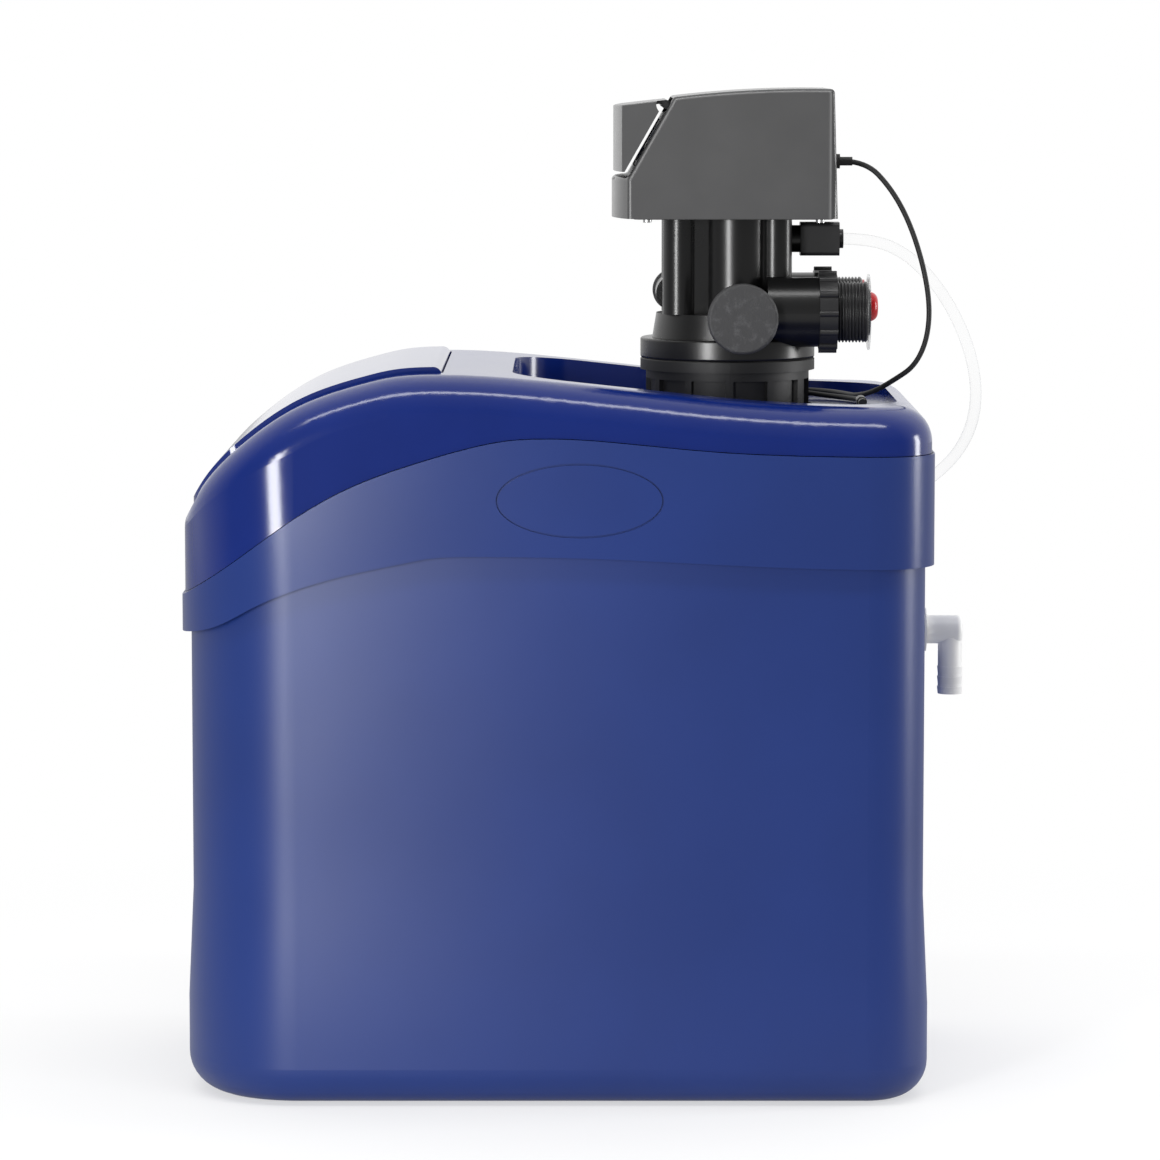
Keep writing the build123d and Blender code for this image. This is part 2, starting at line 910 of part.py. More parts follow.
# Resin vessel with what it holds
def vessel_face(inset):
    """Half outline of the vessel, in its side plane, set in by inset."""
    side = vessel_radius - inset
    neck = vessel_neck_radius - inset
    low = vessel_low + vessel_foot_height + inset
    shoulder = vessel_shoulder - inset
    pull_low = (vessel_side_low - low) * dome_pull_share
    pull_high = (shoulder - vessel_side_high) * dome_pull_share
    top = vessel_top if inset == 0 else vessel_top + overrun
    with BuildSketch(valve_side) as face:
        with BuildLine():
            Polyline((0, low), (0, top), (neck, top), (neck, shoulder))
            Bezier(
                (neck, shoulder),
                (neck + (side - neck) * dome_pull_share, shoulder),
                (side, vessel_side_high + pull_high),
                (side, vessel_side_high),
            )
            Line((side, vessel_side_high), (side, vessel_side_low))
            Bezier(
                (side, vessel_side_low),
                (side, vessel_side_low - pull_low),
                (side * dome_pull_share, low),
                (0, low),
            )
        make_face()
    return face.sketch


with BuildPart() as vessel:
    revolve(vessel_face(0), axis=valve_axis)
    extrude(
        disc(vessel_low, vessel_foot_radius, vessel_foot_radius - vessel_wall, (0, vessel_y)),
        amount=vessel_side_low - vessel_low,
    )
    revolve(vessel_face(vessel_wall), axis=valve_axis, mode=Mode.SUBTRACT)
finish(vessel, "resin_vessel")

with BuildPart() as resin:
    revolve(vessel_face(vessel_wall + resin_gap), axis=valve_axis)
    extrude(
        disc(vessel_low, vessel_radius + overrun, 0, (0, vessel_y)),
        amount=resin_low - vessel_low,
        mode=Mode.SUBTRACT,
    )
    extrude(
        disc(resin_top, vessel_radius + overrun, 0, (0, vessel_y)), amount=vessel_top, mode=Mode.SUBTRACT
    )
    extrude(
        disc(vessel_low, strainer_radius + rest_gap, 0, (0, vessel_y)),
        amount=strainer_base + strainer_height + rest_gap - vessel_low,
        mode=Mode.SUBTRACT,
    )
    riser_hole = disc(vessel_low, riser_radius + rest_gap, 0, (0, vessel_y))
    extrude(riser_hole, amount=vessel_top, mode=Mode.SUBTRACT)
finish(resin, "resin_bed")

with BuildPart() as riser:
    riser_section = disc(riser_low, riser_radius, riser_radius - riser_wall, (0, vessel_y))
    extrude(riser_section, amount=riser_top - riser_low)
finish(riser, "riser_tube")

with BuildPart() as bottom_strainer:
    extrude(disc(strainer_base, strainer_radius, 0, (0, vessel_y)), amount=strainer_height)
    extrude(
        disc(riser_low, riser_radius + running_gap, 0, (0, vessel_y)),
        amount=strainer_height,
        mode=Mode.SUBTRACT,
    )
    with BuildSketch(Plane(origin=(0, vessel_y, riser_low + strainer_slot_width))):
        with PolarLocations(strainer_radius, strainer_slots):
            Rectangle(strainer_slot_depth * 2, strainer_slot_width)
    extrude(amount=strainer_height - strainer_slot_margin, mode=Mode.SUBTRACT)
finish(bottom_strainer, "bottom_strainer")

with BuildPart() as top_strainer:
    top_strainer_low = spigot_low - top_strainer_height
    extrude(
        disc(top_strainer_low, top_strainer_radius, top_strainer_radius - top_strainer_wall, (0, vessel_y)),
        amount=top_strainer_height,
    )
    extrude(
        disc(top_strainer_low, top_strainer_radius, riser_radius + running_gap, (0, vessel_y)),
        amount=top_strainer_wall,
    )
    with BuildSketch(Plane(origin=(0, vessel_y, top_strainer_low + top_strainer_wall * 2))):
        with PolarLocations(top_strainer_radius, strainer_slots):
            Rectangle(top_strainer_wall * 3, strainer_slot_width)
    extrude(amount=top_strainer_height - top_strainer_wall * 3, mode=Mode.SUBTRACT)
finish(top_strainer, "top_strainer")

# Collar that holds the valve on the vessel's neck
with BuildPart() as collar:
    extrude(disc(adapter_low, adapter_radius, 0, (0, vessel_y)), amount=adapter_top - adapter_low)
    extrude(disc(adapter_lip_low, adapter_lip_radius, 0, (0, vessel_y)), amount=adapter_top - adapter_lip_low)
    chamfer(collar.edges().filter_by(GeomType.CIRCLE).group_by(Axis.Z)[-1], length=edge_break)
    with BuildSketch(Plane(origin=(0, vessel_y, adapter_low + adapter_band))):
        Circle(adapter_radius + overrun)
        Circle(adapter_radius - adapter_rib_inset, mode=Mode.SUBTRACT)
        with PolarLocations(adapter_radius, adapter_ribs):
            Rectangle(adapter_rib_inset * 4, adapter_rib_width, mode=Mode.SUBTRACT)
    extrude(amount=adapter_lip_low - adapter_low - adapter_band * 2, mode=Mode.SUBTRACT)
    extrude(
        disc(adapter_low, vessel_neck_radius + rest_gap, 0, (0, vessel_y)),
        amount=vessel_top + rest_gap - adapter_low,
        mode=Mode.SUBTRACT,
    )
    extrude(
        disc(adapter_low, spigot_radius + rest_gap, 0, (0, vessel_y)), amount=adapter_top, mode=Mode.SUBTRACT
    )
finish(collar, "neck_collar")

# Valve body: flange, neck with its columns, side bosses and two rear ports
with BuildPart() as valve:
    extrude(disc(adapter_top, adapter_lip_radius, 0, (0, vessel_y)), amount=flange_top - adapter_top)
    fillet(valve.edges().filter_by(GeomType.CIRCLE), radius=flange_edge)
    extrude(disc(spigot_low, spigot_radius, 0, (0, vessel_y)), amount=flange_top - spigot_low)
    flare_base = disc(flange_top, flare_low_radius, 0, (0, vessel_y))
    loft([flare_base, disc(flare_top, flare_high_radius, 0, (0, vessel_y))])
    extrude(
        level_box(flare_top, neck_half_width * 2, neck_half_length * 2, (0, vessel_y), neck_corner),
        amount=neck_top - flare_top,
    )
    for side in (-1, 1):
        for radius, x, y in (
            (main_column_radius, main_column_x, main_column_y),
            (front_column_radius, front_column_x, front_column_y),
            (rear_column_radius, rear_column_x, rear_column_y),
        ):
            extrude(disc(flare_top, radius, 0, (side * x, vessel_y + y)), amount=neck_top - flare_top)
    extrude(side_disc(0, vessel_y + injector_y, injector_z, injector_boss_radius), amount=injector_boss_end)
    extrude(side_disc(0, vessel_y + far_y, far_z, far_boss_radius), amount=-far_boss_end)
    extrude(side_disc(0, vessel_y + drain_y, drain_z, drain_boss_radius), amount=-drain_boss_end)
    for side in (-1, 1):
        extrude(
            back_disc(vessel_y + port_start, side * port_x, port_z, port_barrel_radius),
            amount=port_barrel_end - port_start,
        )
    extrude(back_disc(vessel_y, 0, brine_z, brine_boss_radius), amount=brine_boss_end)
    extrude(disc(stack_low, stack_bore, 0, (0, vessel_y)), amount=neck_top, mode=Mode.SUBTRACT)
    riser_socket = disc(spigot_low, riser_radius + running_gap, 0, (0, vessel_y))
    extrude(riser_socket, amount=neck_top, mode=Mode.SUBTRACT)
    for side, spacer in ((-1, 0), (1, 1)):
        bore_start = port_start + port_wall
        extrude(
            back_disc(vessel_y + bore_start, side * port_x, port_z, port_bore),
            amount=port_barrel_end,
            mode=Mode.SUBTRACT,
        )
        channel_z = stack_low + seal_height + spacer * (seal_height + spacer_height) + spacer_height / 2
        channel_run = Vector(side * port_x, bore_start + port_bore / 2, 0)
        with BuildSketch(Plane(origin=(0, vessel_y, channel_z), z_dir=channel_run)):
            Circle(channel_radius)
        extrude(amount=channel_run.length, mode=Mode.SUBTRACT)
finish(valve, "valve_body")

# Seals, spacers and the piston that slides in them
with BuildPart() as spacers:
    for count in range(seal_count - 1):
        low = stack_low + seal_height + count * (seal_height + spacer_height)
        extrude(disc(low, stack_bore - running_gap, spacer_inner, (0, vessel_y)), amount=spacer_height)
        with BuildSketch(Plane(origin=(0, vessel_y, low + spacer_height / 4))):
            with PolarLocations(stack_bore, spacer_windows):
                Rectangle(stack_bore - spacer_inner + seal_height, spacer_window)
        extrude(amount=spacer_height / 2, mode=Mode.SUBTRACT)
finish(spacers, "seal_spacers")

with BuildPart() as seals:
    for count in range(seal_count):
        low = stack_low + count * (seal_height + spacer_height)
        extrude(disc(low, stack_bore - running_gap, seal_inner, (0, vessel_y)), amount=seal_height)
finish(seals, "piston_seals")

with BuildPart() as piston:
    extrude(disc(piston_low, seal_inner - running_gap, 0, (0, vessel_y)), amount=piston_length)
    for middle in (piston_length / 4, piston_length * 3 / 4):
        extrude(
            disc(
                piston_low + middle - piston_waist_length / 2,
                seal_inner,
                piston_waist,
                (0, vessel_y),
            ),
            amount=piston_waist_length,
            mode=Mode.SUBTRACT,
        )
    extrude(
        disc(piston_low + piston_length - rod_seat, rod_radius, 0, (0, vessel_y)),
        amount=rod_seat,
        mode=Mode.SUBTRACT,
    )
finish(piston, "piston")

with BuildPart() as rod:
    rod_low = piston_low + piston_length - rod_seat
    extrude(disc(rod_low, rod_radius, 0, (0, vessel_y)), amount=rod_top - rod_low)
    chamfer(rod.edges().group_by(Axis.Z)[-1], length=edge_break)
finish(rod, "piston_rod")

with BuildPart() as retainer:
    extrude(
        disc(neck_top - retainer_height, stack_bore - running_gap, rod_radius + running_gap, (0, vessel_y)),
        amount=retainer_height,
    )
finish(retainer, "stack_retainer")

# Side caps and the drain spout
with BuildPart() as injector_cap:
    extrude(
        side_disc(injector_boss_end, vessel_y + injector_y, injector_z, injector_skirt_radius),
        amount=injector_skirt,
    )
    extrude(
        side_disc(injector_boss_end + injector_skirt, vessel_y + injector_y, injector_z, injector_cap_radius),
        amount=injector_cap_end - injector_boss_end - injector_skirt,
    )
    fillet(injector_cap.edges().filter_by(GeomType.CIRCLE).sort_by(Axis.X)[-1], radius=cap_edge)
finish(injector_cap, "injector_cap")

with BuildPart() as far_cap:
    extrude(
        side_disc(-far_boss_end, vessel_y + far_y, far_z, far_cap_radius), amount=far_boss_end - far_cap_end
    )
    fillet(far_cap.edges().filter_by(GeomType.CIRCLE).sort_by(Axis.X)[0], radius=cap_edge)
finish(far_cap, "refill_cap")

with BuildPart() as drain:
    extrude(
        side_disc(-drain_boss_end, vessel_y + drain_y, drain_z, drain_boss_radius),
        amount=-drain_collar_length,
    )
    extrude(
        side_disc(-drain_boss_end - drain_collar_length, vessel_y + drain_y, drain_z, drain_root_radius),
        amount=drain_boss_end + drain_collar_length - drain_end,
    )
    barb_pitch = (drain_end - drain_boss_end - drain_collar_length) / (drain_barbs + 1)
    for count in range(drain_barbs):
        barb_x = -drain_end + count * barb_pitch
        loft(
            [
                side_disc(barb_x, vessel_y + drain_y, drain_z, drain_root_radius),
                side_disc(barb_x + barb_pitch, vessel_y + drain_y, drain_z, drain_barb_radius),
            ]
        )
    extrude(
        side_disc(-drain_end, vessel_y + drain_y, drain_z, drain_bore),
        amount=drain_end - drain_boss_end,
        mode=Mode.SUBTRACT,
    )
finish(drain, "drain_spout")

# Threaded tails and union rings of the two water ports
for side, port_name in ((1, "outlet"), (-1, "inlet")):
    with BuildPart() as tail:
        extrude(
            back_disc(vessel_y + port_barrel_end, side * port_x, port_z, tail_flange_radius),
            amount=tail_flange_length,
        )
        extrude(
            back_disc(vessel_y + port_barrel_end, side * port_x, port_z, thread_radius - thread_relief),
            amount=thread_end - port_barrel_end,
        )
        extrude(
            back_disc(vessel_y + union_end + thread_relief_run, side * port_x, port_z, thread_radius),
            amount=thread_end - union_end - thread_relief_run,
        )
        chamfer(tail.edges().filter_by(GeomType.CIRCLE).sort_by(Axis.Y)[-1], length=thread_chamfer)
        extrude(
            back_disc(vessel_y + port_barrel_end, side * port_x, port_z, port_bore),
            amount=thread_end,
            mode=Mode.SUBTRACT,
        )
    finish(tail, f"{port_name}_tail")

    with BuildPart() as union_ring:
        extrude(
            back_disc(
                vessel_y + port_barrel_end, side * port_x, port_z, union_radius, tail_flange_radius + rest_gap
            ),
            amount=union_end - port_barrel_end,
        )
        extrude(
            back_disc(
                vessel_y + port_barrel_end + tail_flange_length + rest_gap,
                side * port_x,
                port_z,
                union_radius,
                thread_radius + rest_gap,
            ),
            amount=union_end - port_barrel_end - tail_flange_length - rest_gap,
        )
        with BuildSketch(
            Plane(
                origin=(side * port_x, vessel_y + port_barrel_end, port_z), x_dir=(1, 0, 0), z_dir=(0, 1, 0)
            )
        ):
            with PolarLocations(union_radius, union_ribs):
                Circle(union_rib_radius)
        extrude(amount=union_end - port_barrel_end)
    finish(union_ring, f"{port_name}_union_ring")

with BuildPart() as plug:
    extrude(
        back_disc(vessel_y + thread_end - plug_stem_length, -port_x, port_z, plug_stem_radius),
        amount=plug_stem_length,
    )
    extrude(back_disc(vessel_y + thread_end, -port_x, port_z, plug_flange_radius), amount=plug_flange_length)
    extrude(
        back_disc(vessel_y + thread_end, -port_x, port_z, plug_radius), amount=plug_end - thread_end
    )
    fillet(plug.edges().filter_by(GeomType.CIRCLE).sort_by(Axis.Y)[-1], radius=plug_dome)
finish(plug, "port_plug")

with BuildPart() as washer:
    extrude(
        back_disc(vessel_y + thread_end, port_x, port_z, washer_radius, port_bore),
        amount=washer_thickness,
    )
finish(washer, "port_washer")

# Flow turbine in the near port, on a fixed axle held by two spiders
with BuildPart() as turbine:
    extrude(
        back_disc(vessel_y + turbine_y, port_x, port_z, turbine_hub, axle_radius + running_gap),
        amount=turbine_length,
    )
    for count in range(turbine_blades):
        turn = count * math.tau / turbine_blades
        blade_plane = Plane(
            origin=(port_x, vessel_y + turbine_y, port_z),
            x_dir=(math.cos(turn), 0, math.sin(turn)),
            z_dir=(0, 1, 0),
        )
        with BuildSketch(blade_plane):
            with Locations(((turbine_hub + turbine_radius) / 2 - turbine_blade / 2, 0)):
                Rectangle(turbine_radius - turbine_hub + turbine_blade, turbine_blade)
        extrude(amount=turbine_length)
finish(turbine, "flow_turbine")

with BuildPart() as spider:
    for low in (turbine_y - rest_gap - spider_length, turbine_y + turbine_length + rest_gap):
        extrude(
            back_disc(
                vessel_y + low, port_x, port_z, port_bore - running_gap, port_bore - spider_ring
            ),
            amount=spider_length,
        )
        arm_plane = Plane(origin=(port_x, vessel_y + low, port_z), x_dir=(1, 0, 0), z_dir=(0, 1, 0))
        with BuildSketch(arm_plane):
            Rectangle((port_bore - spider_ring / 2) * 2, spider_arm)
            Rectangle(spider_arm, (port_bore - spider_ring / 2) * 2)
            Circle(spider_arm)
        extrude(amount=spider_length)
    extrude(
        back_disc(vessel_y + turbine_y - rest_gap - spider_length, port_x, port_z, axle_radius),
        amount=turbine_length + (rest_gap + spider_length) * 2,
    )
finish(spider, "turbine_spider")

# Brine connector on the back of the neck
with BuildPart() as connector:
    connector_plane = Plane(origin=(0, vessel_y + connector_front, brine_z), x_dir=(1, 0, 0), z_dir=(0, 1, 0))
    with BuildSketch(connector_plane):
        RectangleRounded(connector_width, connector_height, connector_corner)
    extrude(amount=connector_end - connector_front)
    extrude(back_disc(vessel_y + connector_end, 0, brine_z, collet_radius), amount=collet_length)
    extrude(
        back_disc(vessel_y + connector_front, 0, brine_z, brine_boss_radius + rest_gap),
        amount=brine_boss_end + rest_gap - connector_front,
        mode=Mode.SUBTRACT,
    )
    extrude(
        back_disc(vessel_y + connector_end + collet_length - tube_seat, 0, brine_z, tube_radius + rest_gap),
        amount=tube_seat,
        mode=Mode.SUBTRACT,
    )
finish(connector, "brine_connector")

# Control head: base plate with its posts, hood, and the screws that join them
def hood_block(inset, edge_radius):
    """The hood as a solid block with a bowed front, set in by inset on all but its lower side."""
    half = head_half - inset
    front = head_front + inset
    rear = head_rear - inset
    with BuildSketch(Plane.XY.offset(head_low)) as plan:
        with BuildLine():
            ThreePointArc((-half, front), (0, front - head_bow), (half, front))
            FilletPolyline(
                (half, front), (half, rear), (-half, rear), (-half, front), radius=head_rear_corner - inset
            )
        make_face()
    ledge_z = head_slant_low - inset
    top_z = head_front_top - inset
    top_y = head_slant_y + inset * (slant_length - slant_run) / slant_rise
    slope_y = top_y - (top_z - ledge_z) * slant_run / slant_rise
    bowed_y = head_front - head_bow - overrun
    rear_top = (head_rear_top - inset, head_rear_height - inset)
    crown = ((top_y + rear_top[0]) / 2, (top_z + rear_top[1]) / 2 + head_crown)
    with BuildSketch(Plane.YZ.offset(-head_half - overrun)) as side_view:
        with BuildLine():
            Polyline(
                (rear, head_low - overrun),
                (bowed_y, head_low - overrun),
                (bowed_y, ledge_z),
                (slope_y, ledge_z),
                (top_y, top_z),
            )
            ThreePointArc((top_y, top_z), crown, rear_top)
            Line(rear_top, (rear, head_low - overrun))
        make_face()
    with BuildPart() as block:
        extrude(plan.sketch, amount=head_rear_height + head_crown + overrun - head_low)
        extrude(side_view.sketch, amount=(head_half + overrun) * 2, mode=Mode.INTERSECT)
        if edge_radius > 0:
            lowest = block.faces().sort_by(Axis.Z)[0]
            low_edges = lowest.edges()
            fillet([edge for edge in block.edges() if edge not in low_edges], radius=edge_radius)
    return block.part


head_screw_places = [
    (side * head_screw_x, y) for side in (-1, 1) for y in (head_screw_front, head_screw_rear)
]
idler_x = gear_module * (drive_teeth + idler_teeth) / 2 * math.cos(math.radians(idler_angle))
idler_y = vessel_y + gear_module * (drive_teeth + idler_teeth) / 2 * math.sin(math.radians(idler_angle))
pinion_x = idler_x + gear_module * (idler_teeth + pinion_teeth) / 2 * math.cos(math.radians(pinion_angle))
pinion_y = idler_y + gear_module * (idler_teeth + pinion_teeth) / 2 * math.sin(math.radians(pinion_angle))
base_low = neck_top
base_top = neck_top + base_plate
dust_hinge_z = dust_hinge_top - dust_barrel_radius

with BuildPart() as head_base:
    base_length = head_rear - head_front - base_inset * 2
    base_middle = (0, (head_front + head_rear) / 2)
    extrude(
        level_box(base_low, (head_half - base_inset) * 2, base_length, base_middle, head_rear_corner),
        amount=base_plate + base_rim,
    )
    extrude(
        level_box(
            base_top,
            (head_half - base_inset - base_plate) * 2,
            base_length - base_plate * 2,
            base_middle,
            head_rear_corner - base_plate,
        ),
        amount=base_rim,
        mode=Mode.SUBTRACT,
    )
    extrude(
        disc(base_top, drive_hub_radius, rod_clearance_radius, (0, vessel_y)),
        amount=gear_low - hub_ring_gap - base_top,
    )
    idler_seat = disc(base_top, idler_hub_radius, 0, (idler_x, idler_y))
    extrude(idler_seat, amount=gear_low - hub_ring_gap - base_top)
    extrude(
        disc(base_top, idler_pin_radius, 0, (idler_x, idler_y)),
        amount=gear_low + gear_height + rest_gap - base_top,
    )
    for angle in motor_post_angles:
        post_x = pinion_x + motor_post_reach * math.cos(math.radians(angle))
        post_y = pinion_y + motor_post_reach * math.sin(math.radians(angle))
        motor_post = disc(base_top, motor_post_radius, 0, (post_x, post_y))
        extrude(motor_post, amount=motor_low - motor_ear - base_top)
    for place in head_screw_places:
        extrude(disc(base_top, head_post_radius, 0, place), amount=base_rim)
        extrude(
            disc(base_low, head_screw_radius + running_gap, 0, place),
            amount=base_plate + base_rim,
            mode=Mode.SUBTRACT,
        )
    extrude(disc(base_low, rod_clearance_radius, 0, (0, vessel_y)), amount=base_plate, mode=Mode.SUBTRACT)
finish(head_base, "head_base")

with BuildPart() as hood:
    add(hood_block(0, head_edge))
    add(hood_block(head_wall, 0), mode=Mode.SUBTRACT)
    with BuildPart(mode=Mode.PRIVATE) as hood_fillings:
        extrude(
            side_disc(-head_half, dust_hinge_y, dust_hinge_z, dust_groove_radius + head_wall),
            amount=head_half * 2,
        )
        for place in head_screw_places:
            extrude(
                disc(base_top + base_rim + rest_gap, head_post_radius, 0, place),
                amount=head_rear_height - head_low,
            )
        add(hood_block(head_wall / 2, 0), mode=Mode.INTERSECT)
    add(hood_fillings.part)
    for place in head_screw_places:
        extrude(
            disc(base_top, head_screw_radius, 0, place),
            amount=head_screw_length + head_screw_head_height,
            mode=Mode.SUBTRACT,
        )
    extrude(
        side_disc(-dust_barrel_half - rest_gap, dust_hinge_y, dust_hinge_z, dust_groove_radius),
        amount=(dust_barrel_half + rest_gap) * 2,
        mode=Mode.SUBTRACT,
    )
    peg_reach = dust_barrel_half + dust_peg_length + rest_gap
    extrude(
        side_disc(-peg_reach, dust_hinge_y, dust_hinge_z, dust_peg_radius + running_gap),
        amount=peg_reach * 2,
        mode=Mode.SUBTRACT,
    )
    with BuildSketch(panel_plane.offset(-head_wall * 2)):
        RectangleRounded(panel_width + rest_gap * 2, panel_height + rest_gap * 2, panel_corner)
    extrude(amount=head_wall * 3, mode=Mode.SUBTRACT)
    extrude(
        back_disc(head_rear - overrun, gland_x, gland_z, gland_tip_radius + running_gap),
        amount=overrun * 2,
        mode=Mode.SUBTRACT,
    )
finish(hood, "head_cover")

with BuildPart() as head_screws:
    for place in head_screw_places:
        extrude(disc(base_low, head_screw_radius, 0, place), amount=head_screw_length)
        extrude(
            disc(base_low - head_screw_head_height, head_screw_head, 0, place), amount=head_screw_head_height
        )
finish(head_screws, "head_screws")

# Dust cover: front, top and two cheeks, with a hinge barrel along its upper rear edge
def dust_block(inset):
    """The space under the dust cover's front and top as a solid with a bowed front, set in by inset."""
    half = head_half - inset
    front = dust_front + inset
    rear = head_slant_y + overrun
    rise = (dust_hinge_top - dust_top) / (dust_hinge_y - dust_front)
    bowed_y = dust_front - dust_bow - overrun
    with BuildSketch(Plane.XY.offset(dust_low - inset)) as plan:
        with BuildLine():
            ThreePointArc((-half, front), (0, front - dust_bow), (half, front))
            Polyline((half, front), (half, rear), (-half, rear), (-half, front))
        make_face()
    with BuildSketch(Plane.YZ.offset(-head_half - overrun)) as side_view:
        with BuildLine():
            Polyline(
                (bowed_y, dust_low - inset),
                (rear, dust_low - inset),
                (rear, dust_top - inset + (rear - dust_front) * rise),
                (bowed_y, dust_top - inset + (bowed_y - dust_front) * rise),
                close=True,
            )
        make_face()
    with BuildPart() as block:
        extrude(plan.sketch, amount=head_rear_height - dust_low)
        extrude(side_view.sketch, amount=(head_half + overrun) * 2, mode=Mode.INTERSECT)
    return block.part


with BuildPart() as dust:
    add(dust_block(0))
    dust_edges = dust.edges().filter_by(lambda edge: edge.bounding_box().min.Z > dust_low + edge_break)
    fillet(dust_edges, radius=edge_break)
    add(dust_block(dust_wall), mode=Mode.SUBTRACT)
    with BuildSketch(Plane.YZ.offset(-head_half - overrun)):
        with BuildLine():
            behind_y = head_front - dust_gap * slant_length / slant_rise
            behind_top = behind_y + slant_run * (dust_hinge_top + overrun - head_slant_low) / slant_rise
            Polyline(
                (behind_y, head_slant_low),
                (behind_top, dust_hinge_top + overrun),
                (head_rear, dust_hinge_top + overrun),
                (head_rear, head_slant_low),
                close=True,
            )
        make_face()
    extrude(amount=(head_half + overrun) * 2, mode=Mode.SUBTRACT)
    for side in (-1, 1):
        extrude(
            side_disc(side * dust_barrel_half, dust_hinge_y, dust_hinge_z, dust_groove_radius + rest_gap),
            amount=side * overrun,
            mode=Mode.SUBTRACT,
        )
    extrude(
        side_disc(-dust_barrel_half, dust_hinge_y, dust_hinge_z, dust_barrel_radius),
        amount=dust_barrel_half * 2,
    )
    barrel_reach = dust_barrel_half + dust_peg_length
    extrude(side_disc(-barrel_reach, dust_hinge_y, dust_hinge_z, dust_peg_radius), amount=barrel_reach * 2)
finish(dust, "dust_cover")

# Controls on the sloping face: panel, screen, buttons and the board behind them
panel_face = -panel_recess
panel_back = -panel_recess - panel_thickness
board_face = panel_back - board_gap
button_places = [((place - 1.5) * button_pitch, button_share * panel_height) for place in range(4)]
screen_place = (0, screen_share * panel_height)
post_places = [(x * board_post_x, y * board_post_y) for x in (-1, 1) for y in (-1, 1)]

with BuildPart() as panel:
    with BuildSketch(panel_plane.offset(panel_face)):
        RectangleRounded(panel_width, panel_height, panel_corner)
    extrude(amount=-panel_thickness)
    with BuildSketch(panel_plane.offset(-head_wall - rest_gap)):
        RectangleRounded(panel_width + panel_flange * 2, panel_height + panel_flange * 2, panel_corner)
    extrude(amount=-panel_flange_thickness)
    with BuildSketch(panel_plane.offset(panel_back)):
        with Locations(*post_places):
            Circle(board_post_radius)
    extrude(amount=-board_gap)
    with BuildSketch(panel_plane.offset(board_face)):
        with Locations(*post_places):
            Circle(board_peg_radius)
    extrude(amount=-board_thickness)
    with BuildSketch(panel_plane):
        with Locations(screen_place):
            Rectangle(screen_width, screen_height)
        with Locations(*button_places):
            Circle(button_radius + running_gap)
    extrude(amount=panel_back * 2, mode=Mode.SUBTRACT)
finish(panel, "control_panel")

with BuildPart() as screen:
    with BuildSketch(panel_plane.offset(panel_face - screen_recess)):
        with Locations(screen_place):
            Rectangle(screen_width - rest_gap * 2, screen_height - rest_gap * 2)
    extrude(amount=panel_back - panel_face + screen_recess)
    with BuildSketch(panel_plane.offset(panel_back)):
        with Locations(screen_place):
            Rectangle(screen_width + screen_lip * 2, screen_height + screen_lip * 2)
    extrude(amount=-screen_lip_thickness)
finish(screen, "display_screen")

for place, spot in enumerate(button_places):
    with BuildPart() as button:
        with BuildSketch(panel_plane.offset(panel_face + button_proud)):
            with Locations(spot):
                Circle(button_radius)
        extrude(amount=-button_length)
        fillet(button.faces().sort_by(Axis(slant_middle, slant_normal))[-1].edges(), radius=edge_break)
        with BuildSketch(panel_plane.offset(panel_back - running_gap)):
            with Locations(spot):
                Circle(button_radius + button_lip)
        extrude(amount=-button_lip_thickness)
    finish(button, f"button_{place + 1}")

with BuildPart() as board:
    with BuildSketch(panel_plane.offset(board_face)):
        Rectangle(board_width, board_height)
        with Locations(*post_places):
            Circle(board_peg_radius, mode=Mode.SUBTRACT)
    extrude(amount=-board_thickness)
    with BuildSketch(panel_plane.offset(board_face - board_thickness)):
        with GridLocations(chip_size * 2, chip_size, chip_count, 1):
            Rectangle(chip_size, chip_size)
    extrude(amount=-chip_height)
finish(board, "circuit_board")

# Drive train: a large gear turns as a nut on the threaded rod, driven over an idler by the motor's pinion
drive_phase = 0
idler_pitch = 360 / idler_teeth
idler_phase = idler_angle + 180 - idler_pitch * ((drive_phase - idler_angle) * drive_teeth / 360 + 0.5)
pinion_phase = (
    pinion_angle + 180 - (360 / pinion_teeth) * ((idler_phase - pinion_angle) * idler_teeth / 360 + 0.5)
)

with BuildPart() as drive_gear:
    extrude(gear_face(drive_teeth, drive_phase, gear_low, (0, vessel_y)), amount=gear_height)
    extrude(
        disc(gear_low + gear_height, drive_hub_radius, 0, (0, vessel_y)), amount=drive_hub_height
    )
    with BuildSketch(Plane(origin=(0, vessel_y, gear_low))):
        with PolarLocations((drive_hub_radius + drive_teeth * gear_module / 2) / 2, spoke_count):
            Circle(spoke_hole_radius)
    extrude(amount=gear_height, mode=Mode.SUBTRACT)
    extrude(
        disc(gear_low, rod_radius + running_gap, 0, (0, vessel_y)),
        amount=gear_height + drive_hub_height,
        mode=Mode.SUBTRACT,
    )
finish(drive_gear, "drive_gear")

with BuildPart() as idler_gear:
    extrude(gear_face(idler_teeth, idler_phase, gear_low, (idler_x, idler_y)), amount=gear_height)
    extrude(
        disc(gear_low, idler_pin_radius + running_gap, 0, (idler_x, idler_y)),
        amount=gear_height,
        mode=Mode.SUBTRACT,
    )
finish(idler_gear, "idler_gear")

with BuildPart() as pinion:
    extrude(gear_face(pinion_teeth, pinion_phase, gear_low, (pinion_x, pinion_y)), amount=gear_height)
    extrude(
        disc(gear_low, pinion_shaft_radius, 0, (pinion_x, pinion_y)), amount=gear_height + pinion_shaft_length
    )
finish(pinion, "motor_pinion")

